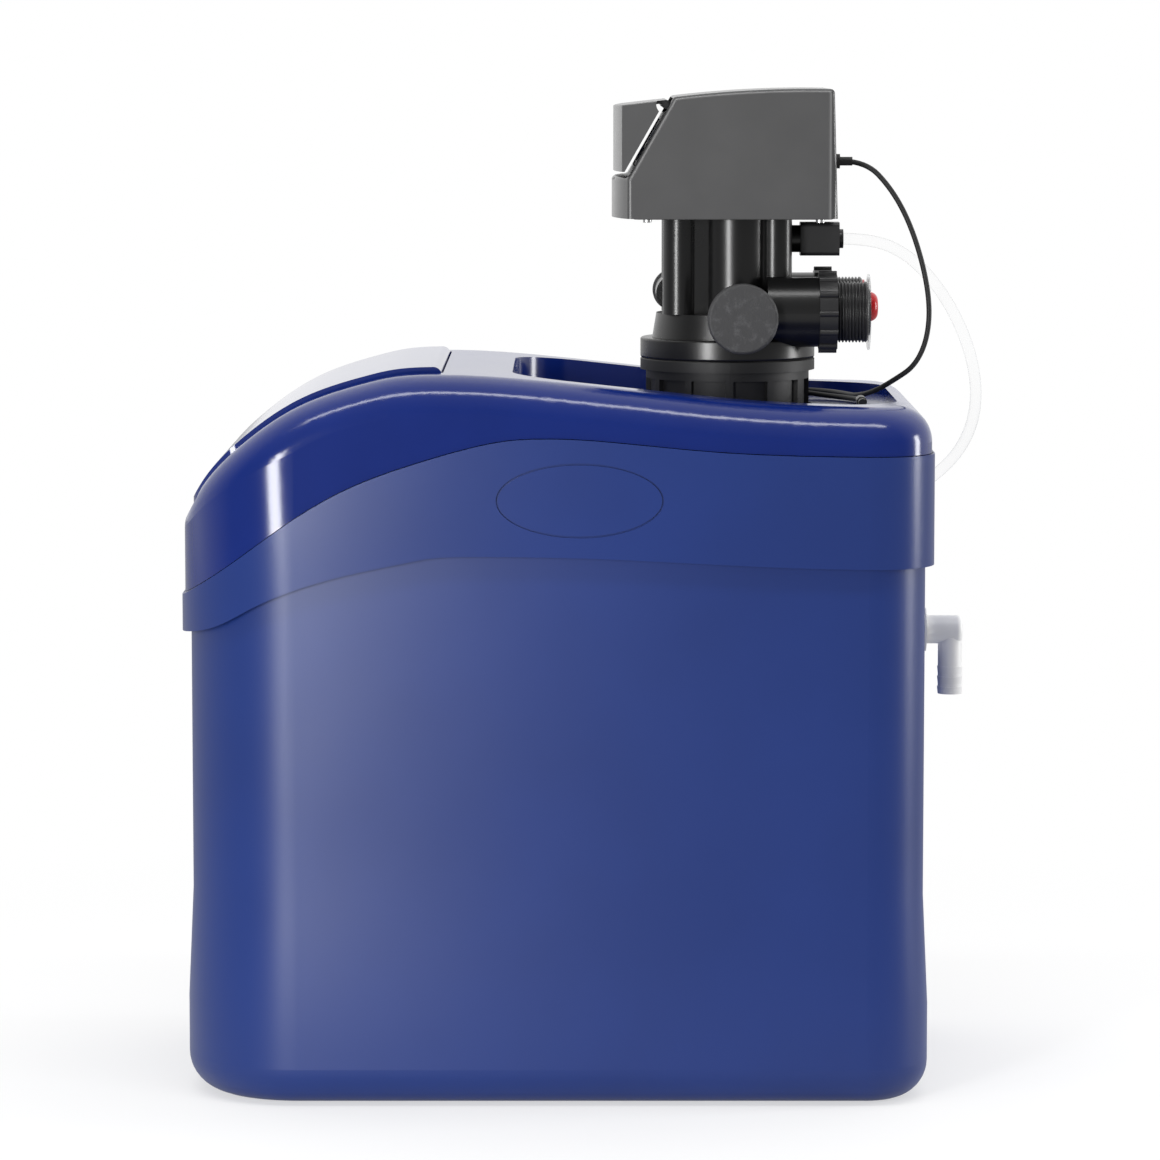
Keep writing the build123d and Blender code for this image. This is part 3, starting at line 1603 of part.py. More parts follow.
with BuildPart() as motor:
    extrude(disc(motor_low, motor_radius, 0, (pinion_x, pinion_y)), amount=motor_height)
    fillet(motor.edges().filter_by(GeomType.CIRCLE).group_by(Axis.Z)[-1], radius=motor_rounding)
    extrude(
        disc(motor_low - motor_ear, motor_radius, 0, (pinion_x, pinion_y)), amount=motor_ear
    )
    for angle in motor_post_angles:
        post_x = pinion_x + motor_post_reach * math.cos(math.radians(angle))
        post_y = pinion_y + motor_post_reach * math.sin(math.radians(angle))
        with BuildSketch(Plane(origin=(pinion_x, pinion_y, motor_low - motor_ear))):
            with Locations(((post_x - pinion_x) / 2, (post_y - pinion_y) / 2)):
                SlotCenterToCenter(motor_post_reach, motor_post_radius * 2, rotation=angle)
        extrude(amount=motor_ear)
    extrude(
        disc(motor_low - motor_ear, pinion_shaft_radius + running_gap, 0, (pinion_x, pinion_y)),
        amount=gear_height + pinion_shaft_length,
        mode=Mode.SUBTRACT,
    )
finish(motor, "drive_motor")

with BuildPart() as gland:
    extrude(
        back_disc(head_rear, gland_x, gland_z, gland_radius), amount=gland_flange
    )
    extrude(
        back_disc(head_rear - gland_seat, gland_x, gland_z, gland_tip_radius),
        amount=gland_seat + gland_length,
    )
    extrude(
        back_disc(head_rear - gland_seat, gland_x, gland_z, gland_inner_radius),
        amount=gland_flange / 2,
    )
    extrude(
        back_disc(head_rear + gland_length - overrun, gland_x, gland_z, lead_radius + rest_gap),
        amount=overrun,
        mode=Mode.SUBTRACT,
    )
finish(gland, "lead_gland")

# Brine system: well with its cap, float valve, float and rod, and the grid that holds the salt up
brine_well_place = (brine_well_x, brine_well_y)
rod_place = (brine_well_x, brine_well_y - float_rod_offset)

with BuildPart() as well:
    extrude(
        disc(brine_well_low, brine_well_radius, brine_well_radius - brine_well_wall, brine_well_place),
        amount=brine_well_top - brine_well_low,
    )
    with BuildSketch(Plane(origin=(brine_well_x, brine_well_y, brine_well_low + brine_slot_low))):
        with PolarLocations(brine_well_radius, brine_slots):
            Rectangle(brine_well_wall * 4, brine_slot_width)
    extrude(amount=brine_slot_height, mode=Mode.SUBTRACT)
finish(well, "brine_well")

with BuildPart() as well_cap:
    extrude(
        disc(brine_well_top, brine_well_radius + brine_well_wall, 0, brine_well_place), amount=well_cap_height
    )
    fillet(well_cap.edges().filter_by(GeomType.CIRCLE).group_by(Axis.Z)[-1], radius=edge_break)
    extrude(
        disc(
            brine_well_top - well_cap_overlap,
            brine_well_radius + brine_well_wall,
            brine_well_radius + rest_gap,
            brine_well_place,
        ),
        amount=well_cap_overlap,
    )
    extrude(disc(brine_well_top, riser_pipe_radius + rest_gap, 0, brine_well_place), amount=well_cap_height,
            mode=Mode.SUBTRACT)
    extrude(disc(brine_well_top, float_rod_radius + rest_gap, 0, rod_place), amount=well_cap_height,
            mode=Mode.SUBTRACT)
finish(well_cap, "brine_well_cap")

with BuildPart() as brine_valve:
    extrude(disc(tank_floor, float_valve_foot, 0, brine_well_place), amount=float_valve_foot_height)
    extrude(disc(tank_floor, float_valve_radius, 0, brine_well_place), amount=float_valve_height)
    fillet(brine_valve.edges().filter_by(GeomType.CIRCLE).group_by(Axis.Z)[-1], radius=edge_break)
    extrude(
        disc(tank_floor, riser_pipe_radius, 0, brine_well_place),
        amount=brine_elbow_z + elbow_radius - tank_floor,
    )
    extrude(
        disc(brine_well_top + well_cap_height, elbow_radius, 0, brine_well_place),
        amount=brine_elbow_z + elbow_radius - brine_well_top - well_cap_height,
    )
    extrude(back_disc(brine_well_y, brine_well_x, brine_elbow_z, elbow_radius), amount=elbow_reach)
    extrude(
        back_disc(brine_well_y + elbow_radius / 2, brine_well_x, brine_elbow_z, tube_radius + rest_gap),
        amount=elbow_reach,
        mode=Mode.SUBTRACT,
    )
    extrude(
        disc(float_rod_low - rest_gap, float_rod_radius + running_gap, 0, rod_place),
        amount=float_valve_height,
        mode=Mode.SUBTRACT,
    )
finish(brine_valve, "brine_valve")

with BuildPart() as float_rod:
    extrude(disc(float_rod_low, float_rod_radius, 0, rod_place), amount=float_rod_top - float_rod_low)
    for low in (float_low - float_clip, float_low + float_height):
        extrude(disc(low, float_rod_radius * 2, 0, rod_place), amount=float_clip)
finish(float_rod, "float_rod")

with BuildPart() as float_body:
    float_section = disc(float_low, float_radius, riser_pipe_radius + rest_gap, brine_well_place)
    extrude(float_section, amount=float_height)
    extrude(
        disc(float_low, float_rod_radius + running_gap, 0, rod_place), amount=float_height, mode=Mode.SUBTRACT
    )
finish(float_body, "float")

with BuildPart() as grid:
    grid_inset = inner_inset + grid_gap
    extrude(plan_face(grid_inset, grid_low), amount=grid_thickness)
    extrude(
        disc(grid_low, vessel_radius + grid_gap, 0, (0, vessel_y)), amount=grid_thickness, mode=Mode.SUBTRACT
    )
    extrude(
        disc(grid_low, brine_well_radius + grid_gap, 0, brine_well_place),
        amount=grid_thickness,
        mode=Mode.SUBTRACT,
    )
    with BuildSketch(Plane(origin=(0, vessel_y, grid_low))):
        with Locations((0, cabinet_length / 2)):
            Rectangle(cabinet_width, cabinet_length)
    extrude(amount=grid_thickness, mode=Mode.SUBTRACT)
    with BuildSketch(Plane(origin=(0, grid_slots_y, grid_low))):
        with GridLocations(grid_slot_pitch_x, grid_slot_pitch_y, grid_slot_columns, grid_slot_rows):
            SlotOverall(grid_slot_length, grid_slot_width)
    extrude(amount=grid_thickness, mode=Mode.SUBTRACT)
    for leg in ((-grid_leg_x, grid_leg_front), (grid_leg_x, grid_leg_front), (grid_leg_x, grid_leg_rear)):
        extrude(disc(tank_floor, grid_leg_radius, 0, leg), amount=grid_low - tank_floor)
finish(grid, "salt_grid")

# Tube from the brine valve to the rear wall, the grommet there, and the tube on to the valve
inner_tube = route_tube(inner_route, tube_radius, "inner_brine_tube")
finish(inner_tube, "inner_brine_tube")

brine_tube = route_tube(tube_route, tube_radius, "brine_tube")
finish(brine_tube, "brine_tube")

with BuildPart() as grommet:
    grommet_front = rear_y - inner_inset - grommet_flange
    extrude(
        back_disc(grommet_front, grommet_x, grommet_z, grommet_radius), amount=grommet_flange
    )
    extrude(
        back_disc(grommet_front, grommet_x, grommet_z, grommet_neck_radius),
        amount=inner_inset + grommet_flange * 2,
    )
    extrude(back_disc(rear_y, grommet_x, grommet_z, grommet_radius), amount=grommet_flange)
    tube_end = Vector(tube_route[-1])
    tube_heading = Vector(tube_route[-2]) - tube_end
    with BuildSketch(Plane(origin=tube_end - tube_heading, z_dir=tube_heading)):
        Circle(tube_radius + rest_gap)
    extrude(amount=tube_heading.length * 2, mode=Mode.SUBTRACT)
finish(grommet, "tube_grommet")

# Overflow: elbow with a barbed leg, and the gasket and nut that clamp it in the rear wall
overflow_wall_y = rear_y - body_inset
overflow_flange_y = overflow_wall_y + overflow_gasket
with BuildPart() as overflow:
    extrude(
        back_disc(overflow_stub_end, overflow_x, overflow_z, overflow_stub_radius),
        amount=overflow_flange_y - overflow_stub_end,
    )
    extrude(
        back_disc(overflow_flange_y, overflow_x, overflow_z, overflow_flange_radius), amount=overflow_flange
    )
    extrude(
        back_disc(overflow_flange_y, overflow_x, overflow_z, overflow_arm_radius),
        amount=overflow_leg_y + overflow_leg_radius - overflow_flange_y,
    )
    fillet(
        overflow.edges().filter_by(GeomType.CIRCLE).sort_by(Axis.Y)[-1], radius=overflow_arm_rounding
    )
    extrude(
        disc(overflow_leg_low, overflow_leg_radius, 0, (overflow_x, overflow_leg_y)),
        amount=overflow_z - overflow_leg_low,
    )
    for count in range(overflow_barbs):
        low = overflow_leg_low + count * overflow_barb_pitch
        loft(
            [
                disc(low, overflow_leg_radius, 0, (overflow_x, overflow_leg_y)),
                disc(
                    low + overflow_barb_height,
                    overflow_leg_radius + overflow_barb,
                    0,
                    (overflow_x, overflow_leg_y),
                ),
            ]
        )
    extrude(
        back_disc(overflow_stub_end, overflow_x, overflow_z, overflow_bore),
        amount=overflow_leg_y - overflow_stub_end,
        mode=Mode.SUBTRACT,
    )
    extrude(
        disc(overflow_leg_low, overflow_bore, 0, (overflow_x, overflow_leg_y)),
        amount=overflow_z - overflow_leg_low,
        mode=Mode.SUBTRACT,
    )
finish(overflow, "overflow_elbow")

with BuildPart() as overflow_washer:
    extrude(
        back_disc(
            overflow_wall_y,
            overflow_x,
            overflow_z,
            overflow_flange_radius,
            overflow_stub_radius + running_gap,
        ),
        amount=overflow_gasket,
    )
finish(overflow_washer, "overflow_gasket")

with BuildPart() as overflow_nut:
    nut_plane = Plane(
        origin=(overflow_x, rear_y - inner_inset, overflow_z), x_dir=(1, 0, 0), z_dir=(0, -1, 0)
    )
    with BuildSketch(nut_plane):
        RegularPolygon(overflow_nut_radius, 6)
        Circle(overflow_stub_radius + running_gap, mode=Mode.SUBTRACT)
    extrude(amount=overflow_nut_height)
finish(overflow_nut, "overflow_nut")

# Power lead: the drop behind the valve, a coil lying in the well, and the end with its small plug
lead_drop = route_tube(lead_route, lead_radius, "lead_drop")
finish(lead_drop, "lead_drop")

lead_tail = route_tube(tail_route, lead_radius, "lead_tail")
finish(lead_tail, "lead_tail")


def coil_stations():
    """Point and heading at every quarter turn: inwards, up half a turn, and outwards again."""
    quarter = 90
    turns_in = [
        (quarter * count, coil_radius - coil_pitch * count * quarter / 360, 0)
        for count in range(4 * coil_turns)
    ]
    inner = coil_radius - coil_pitch * coil_turns
    swept = 360 * coil_turns
    climb = [(swept + quarter * count, inner, coil_rise * count / 2) for count in range(2)]
    swept += 180
    turns_out = [
        (swept + quarter * count, inner + coil_pitch * count * quarter / 360, coil_rise)
        for count in range(4 * coil_turns + 1)
    ]
    stations = []
    for turned, reach, up in turns_in + climb + turns_out:
        angle = math.radians(coil_start_angle + turned)
        climbing = coil_rise / math.pi / inner if 0 < up < coil_rise else 0
        point = Vector(
            coil_x + reach * math.cos(angle),
            coil_y - lead_radius * 2 + reach * math.sin(angle),
            coil_low + up,
        )
        stations.append((point, Vector(-math.sin(angle), math.cos(angle), climbing).normalized()))
    return stations


def arc_pair(start, start_heading, end, end_heading):
    """Two arcs that join two points and keep the heading at both; gives the point where they meet."""
    chord = end - start
    both = start_heading + end_heading
    spread = 2 * (1 - start_heading.dot(end_heading))
    along = chord.dot(both)
    reach = (math.sqrt(along**2 + spread * chord.dot(chord)) - along) / spread
    return (start + end + (start_heading - end_heading) * reach) / 2


with BuildPart() as coil:
    with BuildLine() as coil_path:
        stations = coil_stations()
        first, first_heading = stations[0]
        last, last_heading = stations[-1]
        Line(first - first_heading * lead_radius * 2, first)
        for (here, heading), (there, next_heading) in zip(stations, stations[1:]):
            meeting = arc_pair(here, heading, there, next_heading)
            half_arc = TangentArc(here, meeting, tangent=heading)
            TangentArc(meeting, there, tangent=half_arc % 1)
        Line(last, last + last_heading * lead_radius * 2)
    with BuildSketch(Plane(origin=first - first_heading * lead_radius * 2, z_dir=first_heading)):
        Circle(lead_radius)
    sweep()
finish(coil, "lead_coil")

coil_wire = coil_path.wires()[0]
coil_length = coil_wire.length
samples = [coil_wire @ (count / coil_samples) for count in range(coil_samples + 1)]
spacing = coil_length / coil_samples
apart = int(coil_radius / spacing)
closest = min(
    (samples[first] - samples[second]).length
    for first in range(len(samples))
    for second in range(first + apart, len(samples))
)
print("lead_coil length", round(coil_length, 1), "least gap", round(closest - lead_radius * 2, 2))
print(
    "lead_coil volume share",
    round(coil.part.volume / (math.pi * lead_radius**2 * coil_length), 4),
)

with BuildPart() as lead_connector:
    plug_start = tail_route[-1]
    plug_heading = Vector(tail_route[-1]) - Vector(tail_route[-2])
    with BuildSketch(Plane(origin=Vector(plug_start), z_dir=plug_heading)):
        Circle(plug_body_radius)
    extrude(amount=plug_body_length)
    fillet(lead_connector.edges().filter_by(GeomType.CIRCLE), radius=edge_break)
    with BuildSketch(
        Plane(origin=Vector(plug_start) + plug_heading.normalized() * plug_body_length, z_dir=plug_heading)
    ):
        Circle(plug_tip_radius)
    extrude(amount=plug_tip_length)
finish(lead_connector, "lead_connector")
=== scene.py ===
"""Finishes the water softener: its materials, cords, port threads, stage and camera."""

import math

import bpy
import numpy as np
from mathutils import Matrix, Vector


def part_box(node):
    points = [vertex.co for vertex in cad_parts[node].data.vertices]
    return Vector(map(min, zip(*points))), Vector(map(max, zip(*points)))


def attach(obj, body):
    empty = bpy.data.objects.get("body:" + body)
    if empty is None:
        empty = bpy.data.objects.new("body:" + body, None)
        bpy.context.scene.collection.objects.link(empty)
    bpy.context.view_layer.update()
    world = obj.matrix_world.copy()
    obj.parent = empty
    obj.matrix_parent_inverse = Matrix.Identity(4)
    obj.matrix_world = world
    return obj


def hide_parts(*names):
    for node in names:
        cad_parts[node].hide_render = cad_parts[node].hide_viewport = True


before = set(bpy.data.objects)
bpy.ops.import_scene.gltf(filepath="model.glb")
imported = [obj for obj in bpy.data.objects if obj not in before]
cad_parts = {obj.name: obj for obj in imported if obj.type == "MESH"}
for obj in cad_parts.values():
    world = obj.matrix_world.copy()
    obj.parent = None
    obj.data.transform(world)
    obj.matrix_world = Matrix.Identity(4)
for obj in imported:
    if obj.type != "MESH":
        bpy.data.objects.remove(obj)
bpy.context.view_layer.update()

bl_info = {
    "name": "Water softener finish",
    "version": (1, 0, 0),
    "blender": (4, 5, 0),
    "location": "View3D > Sidebar > Softener",
    "description": "Materials, cords, threads and stage of a cabinet water softener",
    "category": "Object",
}

MM = 0.001

# Given points of the two cords, in millimetres, the same as in the construction
TUBE_ROUTE = (
    (0, 195.7, 579),
    (0, 217, 579),
    (0, 241, 570),
    (0, 263, 549),
    (0, 281, 519),
    (-4, 291.5, 487),
    (-20, 293.5, 457),
    (-40, 286, 431),
    (-55, 270, 411),
    (-60.5, 248, 396),
    (-66.2, 225.2, 380.5),
    (-82, 199, 369),
    (-106, 172, 364),
    (-130, 140, 362),
    (-140, 104, 362.5),
    (-139, 76, 362.3),
    (-124, 48, 362.6),
    (-108, 22, 363),
    (-108, -6, 363),
)
LEAD_DROP = (
    (20, 198, 633),
    (20, 213, 632.6),
    (20, 230, 615),
    (20, 243, 592),
    (20, 253, 562),
    (20, 258, 533),
    (18, 256, 509),
    (11, 248, 491),
    (0, 235, 481),
    (-18, 222, 471.5),
    (-40, 211, 467),
    (-64, 205, 466.6),
    (-88, 197, 466.6),
    (-107, 183, 466.6),
    (-114, 161, 466.6),
    (-114, 138, 466.6),
)
LEAD_TAIL = (
    (-62, 138, 470.7),
    (-62, 152, 470.7),
    (-57, 172, 468.6),
    (-45, 189, 467),
    (-28, 202, 466.6),
    (-8, 209, 467),
    (10, 210, 468.4),
    (24, 210, 468.4),
)

# Coil of the lead, in millimetres
COIL_CENTRE = (-88, 134.4, 466.6)
COIL_RADIUS = 26.0
COIL_PITCH = 5.0
COIL_RISE = 4.1  # how far the upper layer lies above the lower one
COIL_TURNS = 2  # turns in each layer
COIL_STEPS = 12  # control points in one turn of the coil

# Fineness of the cords' meshes
CORD_RESOLUTION = 8
CORD_BEVEL_RESOLUTION = 6
LENGTH_STEPS = 16  # chords that measure one parabola of a cord

# Threaded port end, in millimetres
THREAD_PITCH = 2.309
THREAD_RADIUS = 20.955
THREAD_DEPTH = 1.35
THREAD_NARROWING = 1.4  # power of the wave, which narrows the grooves
THREAD_FADE = 1.5  # run over which the thread grows to its depth
THREAD_START = 3.0  # plain run between the flange and the thread
FLANGE_THICKNESS = 5.0
PORT_BORE_RADIUS = 16.0
PORT_CHAMFER = 1.4  # at the open end
THREAD_STEPS = 96  # points round one turn of the thread
THREAD_ROWS = 12  # rings of points in one pitch

# Outline of the belt round the tank, in metres
BELT_HALF_WIDTH = 165 * MM
BELT_HALF_LENGTH = 255 * MM
FRONT_CORNER = 80 * MM
REAR_CORNER = 46 * MM
CORNER_CHANGE = 20 * MM  # the corner radius changes this near the middle of the length
BELT_EDGE = (-1.8 * MM, -1.0 * MM)  # from the outline, where the belt's finish begins and is full

# Widening of the tank towards its foot, in metres
FLARE = 3.5 * MM
FLARE_SPAN = (65 * MM, 140 * MM)  # heights of the straight flare in the construction
SOFT_FLARE_SPAN = (10 * MM, 210 * MM)  # heights of the soft one that its shading shows
SIDE_MIDDLE = 30 * MM  # where the long sides are fullest
SIDE_SWELL = -0.25  # in one over metres
CORNER_SWELL = 0.03
BELT_LEAN = 0.05

# Hood of the head, in metres from its middle plane
HOOD_FLAT = (59.8 * MM, 61.6 * MM)  # where its flat side begins and is full
HOOD_HIGHLIGHT_LINE = 61.7 * MM  # painted highlight: the bright line along the rim
HOOD_HIGHLIGHT_LINE_WIDTH = 0.3 * MM
# Painted shade: the hood's rims, all but its flat sides, are painted near black
HOOD_RIM_PAINTED_SHADE = (0.022, 0.022, 0.023, 1)
# Colour of the painted highlight line along the rim
HOOD_HIGHLIGHT_LINE_COLOUR = (0.35, 0.35, 0.35, 1)

# Noises that several plastics share: grains to the metre, detail, roughness
PEEL_SCALE = 420.0  # orange peel
PEEL_HEIGHT = 0.012 * MM
MARK_NOISE = (75.0, 6.0, 0.7)  # handling marks
MARK_SPAN = (0.6, 0.8)
RUB_NOISE = (90.0, 5.0, 0.65)  # rubbed places
RUB_SPAN = (0.58, 0.78)

# Stage, in metres and watts
FLOOR_HALF = 9.0
FLOOR_FADE = (0.35, 1.0)  # from here to here the floor goes over to plain white
FLOOR_SHARE = (0.55, 1.0)  # share of plain white at those two places
FLOOR_COLOUR = (0.95, 0.95, 0.95, 1)
FLOOR_GLOW = 0.48  # of the floor as the object sees it
WHITE = (1, 1, 1, 1)
SKY_SPAN = (-0.45, 0.35)  # directions between which the sky dims towards the camera
SKY_STRENGTH = (1.02, 0.2)
SKY_TOP_SPAN = (0.3, 1.0)  # heights between which the sky brightens again
SKY_TOP_STRENGTH = 0.3
LAMPS = (  # name, place, target, width, height, power
    ("front_card", (2.0, -0.93, 0.5), (0.165, -0.05, 0.3), 0.4, 1.0, 31),
    ("rear_card", (-0.15, 2.2, 0.6), (0.0, 0.25, 0.35), 0.4, 1.0, 18),
    ("top_card", (0.9, 0.0, 2.4), (0.1, 0.0, 0.4), 2.4, 0.25, 20),
)
CAMERA_PLACE = (3.490, 0.016, 0.710)
CAMERA_DIP = 6.04  # degrees below level
CAMERA_LENS = 155.8
CAMERA_SENSOR = 36.0


def colour_property(name, description, default):
    """Colour that the panel can change."""
    return bpy.props.FloatVectorProperty(
        name=name, description=description, subtype="COLOR", size=3, min=0, max=1, default=default
    )


class Softener(bpy.types.PropertyGroup):
    """Sizes and colours of the finished softener."""

    cabinet_colour: colour_property("Cabinet colour", "Blue of the tank", (0.006, 0.028, 0.172))
    cover_colour: colour_property("Cover colour", "Blue of the cover and its lid", (0.004, 0.018, 0.155))
    head_colour: colour_property("Head colour", "Grey of the control head", (0.076, 0.076, 0.077))
    valve_colour: colour_property("Valve colour", "Black of the valve body", (0.006, 0.006, 0.0062))
    plug_colour: colour_property("Plug colour", "Red of the port plug", (0.52, 0.004, 0.010))
    tube_width: bpy.props.FloatProperty(
        name="Tube width",
        description="Outside diameter of the brine tube",
        default=8 * MM,
        unit="LENGTH",
    )
    lead_width: bpy.props.FloatProperty(
        name="Lead width",
        description="Diameter of the power lead",
        default=3.6 * MM,
        unit="LENGTH",
    )
    ripple_height: bpy.props.FloatProperty(
        name="Moulding ripple",
        description="Height of the slow ripple of moulded faces",
        default=0.25 * MM,
    )


class Socket:
    """A shader socket that takes arithmetic: each operator adds one Math node."""

    def __init__(self, shade, output):
        self.shade = shade
        self.output = output

    def _math(self, operation, first, second):
        return self.shade.node("ShaderNodeMath", {"operation": operation}, (first, second))

    def __add__(self, other):
        return self._math("ADD", self, other)

    def __radd__(self, other):
        return self._math("ADD", other, self)

    def __sub__(self, other):
        return self._math("SUBTRACT", self, other)

    def __rsub__(self, other):
        return self._math("SUBTRACT", other, self)

    def __mul__(self, other):
        return self._math("MULTIPLY", self, other)

    def __pow__(self, other):
        return self._math("POWER", self, other)

    def size(self):
        """Value without its sign."""
        return self._math("ABSOLUTE", self, 0.0)

    def above(self, floor):
        """Value, but never less than floor."""
        return self._math("MAXIMUM", self, floor)


class Shade:
    """Builds the node tree of a new material, or fills a given one, by its method node."""

    def __init__(self, name="", tree=None):
        self.material = None
        if tree is None:
            self.material = bpy.data.materials.new(name)
            self.material.use_nodes = True
            tree = self.material.node_tree
        self.tree = tree
        tree.nodes.clear()

    def node(self, kind, settings=None, values=(), output=0):
        """Adds a node: settings are set first, then its inputs by place or by name."""
        made = self.tree.nodes.new(kind)
        for key, value in (settings or {}).items():
            setattr(made, key, value)
        pairs = values.items() if isinstance(values, dict) else enumerate(values)
        for key, value in pairs:
            if isinstance(value, Socket):
                self.tree.links.new(value.output, made.inputs[key])
            else:
                made.inputs[key].default_value = value
        return Socket(self, made.outputs[output]) if made.outputs else None

    def place(self):
        """Object coordinates."""
        return self.node("ShaderNodeTexCoord", output="Object")

    def axis(self, letter):
        """One of the object coordinates, in metres."""
        return self.node("ShaderNodeSeparateXYZ", values=(self.place(),), output=letter)

    def noise(self, scale, detail=2.0, roughness=0.5):
        """Soft noise from 0 to 1 with so many grains to the metre."""
        return self.node(
            "ShaderNodeTexNoise",
            values={
                "Vector": self.place(),
                "Scale": scale,
                "Detail": detail,
                "Roughness": roughness,
            },
        )

    def ramp(self, value, low, high, start=0.0, end=1.0):
        """Straight change of value from low..high to start..end, held beyond."""
        return self.node(
            "ShaderNodeMapRange",
            values={
                "Value": value,
                "From Min": low,
                "From Max": high,
                "To Min": start,
                "To Max": end,
            },
        )

    def blend(self, factor, first, second):
        """Mix of two colours."""
        return self.node(
            "ShaderNodeMix",
            {"data_type": "RGBA"},
            {0: factor, 6: first, 7: second},
            output=2,
        )

    def bump(self, height, distance, base=None):
        """Bump from a height, in metres of distance, on top of another bump where one is given."""
        values = {"Height": height, "Distance": distance, "Strength": 1.0}
        if base is not None:
            values["Normal"] = base
        return self.node("ShaderNodeBump", values=values)

    def surface(self, **inputs):
        """Principled shader straight to the output."""
        named = {key.replace("_", " "): value for key, value in inputs.items()}
        return self.close(self.node("ShaderNodeBsdfPrincipled", values=named))

    def close(self, shader):
        """Sends a shader to the material's output."""
        self.node("ShaderNodeOutputMaterial", values={"Surface": shader})
        return self.material


def rgba(colour):
    """Colour with full alpha."""
    return (*colour, 1.0)


def scaled(colour, share):
    """Colour made darker or lighter, with full alpha."""
    return tuple(min(1.0, channel * share) for channel in colour) + (1.0,)


def glossy_plastic(name, colour, gloss, ripple, ripple_scale=14.0, draft=0.0):
    """Blow-moulded plastic: deep colour, slow ripple, faint orange peel and fine handling marks.

    A draft tilts its walls upwards in the shading, by so many metres to the metre of height.
    """
    shade = Shade(name)
    cloud = shade.noise(9.0, 3.0)
    slow = shade.noise(ripple_scale, 1.0)
    marks = shade.ramp(shade.noise(*MARK_NOISE), *MARK_SPAN)
    tone = shade.blend(shade.ramp(cloud, 0.35, 0.65), scaled(colour, 0.94), scaled(colour, 1.06))
    ripple_bump = shade.bump(slow * ripple - shade.axis("Z") * draft, 1.0)
    return shade.surface(
        Base_Color=tone,
        Roughness=gloss + cloud * 0.03 + marks * 0.05,
        IOR=1.5,
        Normal=shade.bump(shade.noise(PEEL_SCALE, 1.0), PEEL_HEIGHT, base=ripple_bump),
    )


def tank_finish(name, colour, ripple):
    """Tank plastic: a glossy belt over a duller body, whose long sides swell in the shading.

    Distance to the belt's outline, with corner radius r, half width a and half length b:
        d = sqrt(max(|x| - a + r, 0)^2 + max(|y| - b + r, 0)^2) - r
    """
    shade = Shade(name)
    across, along, up = (shade.axis(letter) for letter in "XYZ")
    corner = shade.ramp(along, -CORNER_CHANGE, CORNER_CHANGE, FRONT_CORNER, REAR_CORNER)
    beside = (across.size() - (BELT_HALF_WIDTH - corner)).above(0.0)
    beyond = (along.size() - (BELT_HALF_LENGTH - corner)).above(0.0)
    reach = (beside**2.0 + beyond**2.0) ** 0.5 - corner
    belt = shade.ramp(reach, *BELT_EDGE)
    cloud = shade.noise(7.0, 3.0)
    marks = shade.ramp(shade.noise(*MARK_NOISE), *MARK_SPAN)
    tone = shade.blend(shade.ramp(cloud, 0.35, 0.65), scaled(colour, 0.95), scaled(colour, 1.05))
    soft_low, soft_high = SOFT_FLARE_SPAN
    soft_flare = shade.node(
        "ShaderNodeMapRange",
        {"interpolation_type": "SMOOTHERSTEP"},
        {"Value": up, "From Min": soft_low, "From Max": soft_high, "To Min": FLARE, "To Max": 0.0},
    )
    flare = shade.ramp(up, *FLARE_SPAN, FLARE, 0.0)
    away = (along - SIDE_MIDDLE).size()
    side = away**2.0 * SIDE_SWELL + beyond * CORNER_SWELL
    crown = shade.bump(side + belt * up * BELT_LEAN + soft_flare - flare, 1.0)
    slow = shade.bump(shade.noise(11.0, 1.0), ripple, base=crown)
    return shade.surface(
        Base_Color=tone,
        Roughness=0.35 - belt * 0.08 + cloud * 0.04 + marks * 0.04,
        IOR=1.5,
        Normal=shade.bump(shade.noise(PEEL_SCALE, 1.0), PEEL_HEIGHT, base=slow),
    )


def moulded_plastic(name, colour, rough=0.4):
    """Injection-moulded plastic with a fine spark-eroded grain."""
    shade = Shade(name)
    cloud = shade.noise(30.0, 3.0)
    rubbed = shade.ramp(shade.noise(*RUB_NOISE), *RUB_SPAN)
    tone = shade.blend(shade.ramp(cloud, 0.3, 0.7), scaled(colour, 0.92), scaled(colour, 1.08))
    return shade.surface(
        Base_Color=tone,
        Roughness=rough + cloud * 0.06 - rubbed * 0.07,
        IOR=1.48,
        Normal=shade.bump(shade.noise(1600.0, 2.0, 0.6), 0.02 * MM),
    )


def worn_plastic(name, colour):
    """Coarse matte plastic with pale scuffs."""
    shade = Shade(name)
    coarse = shade.noise(260.0, 6.0, 0.7)
    scuffs = shade.ramp(shade.noise(110.0, 8.0, 0.75), 0.52, 0.72)
    tone = shade.blend(scuffs * 0.8, scaled(colour, 0.75), scaled(colour, 2.1))
    return shade.surface(
        Base_Color=tone, Roughness=0.5 + coarse * 0.15, Normal=shade.bump(coarse, 0.35 * MM)
    )


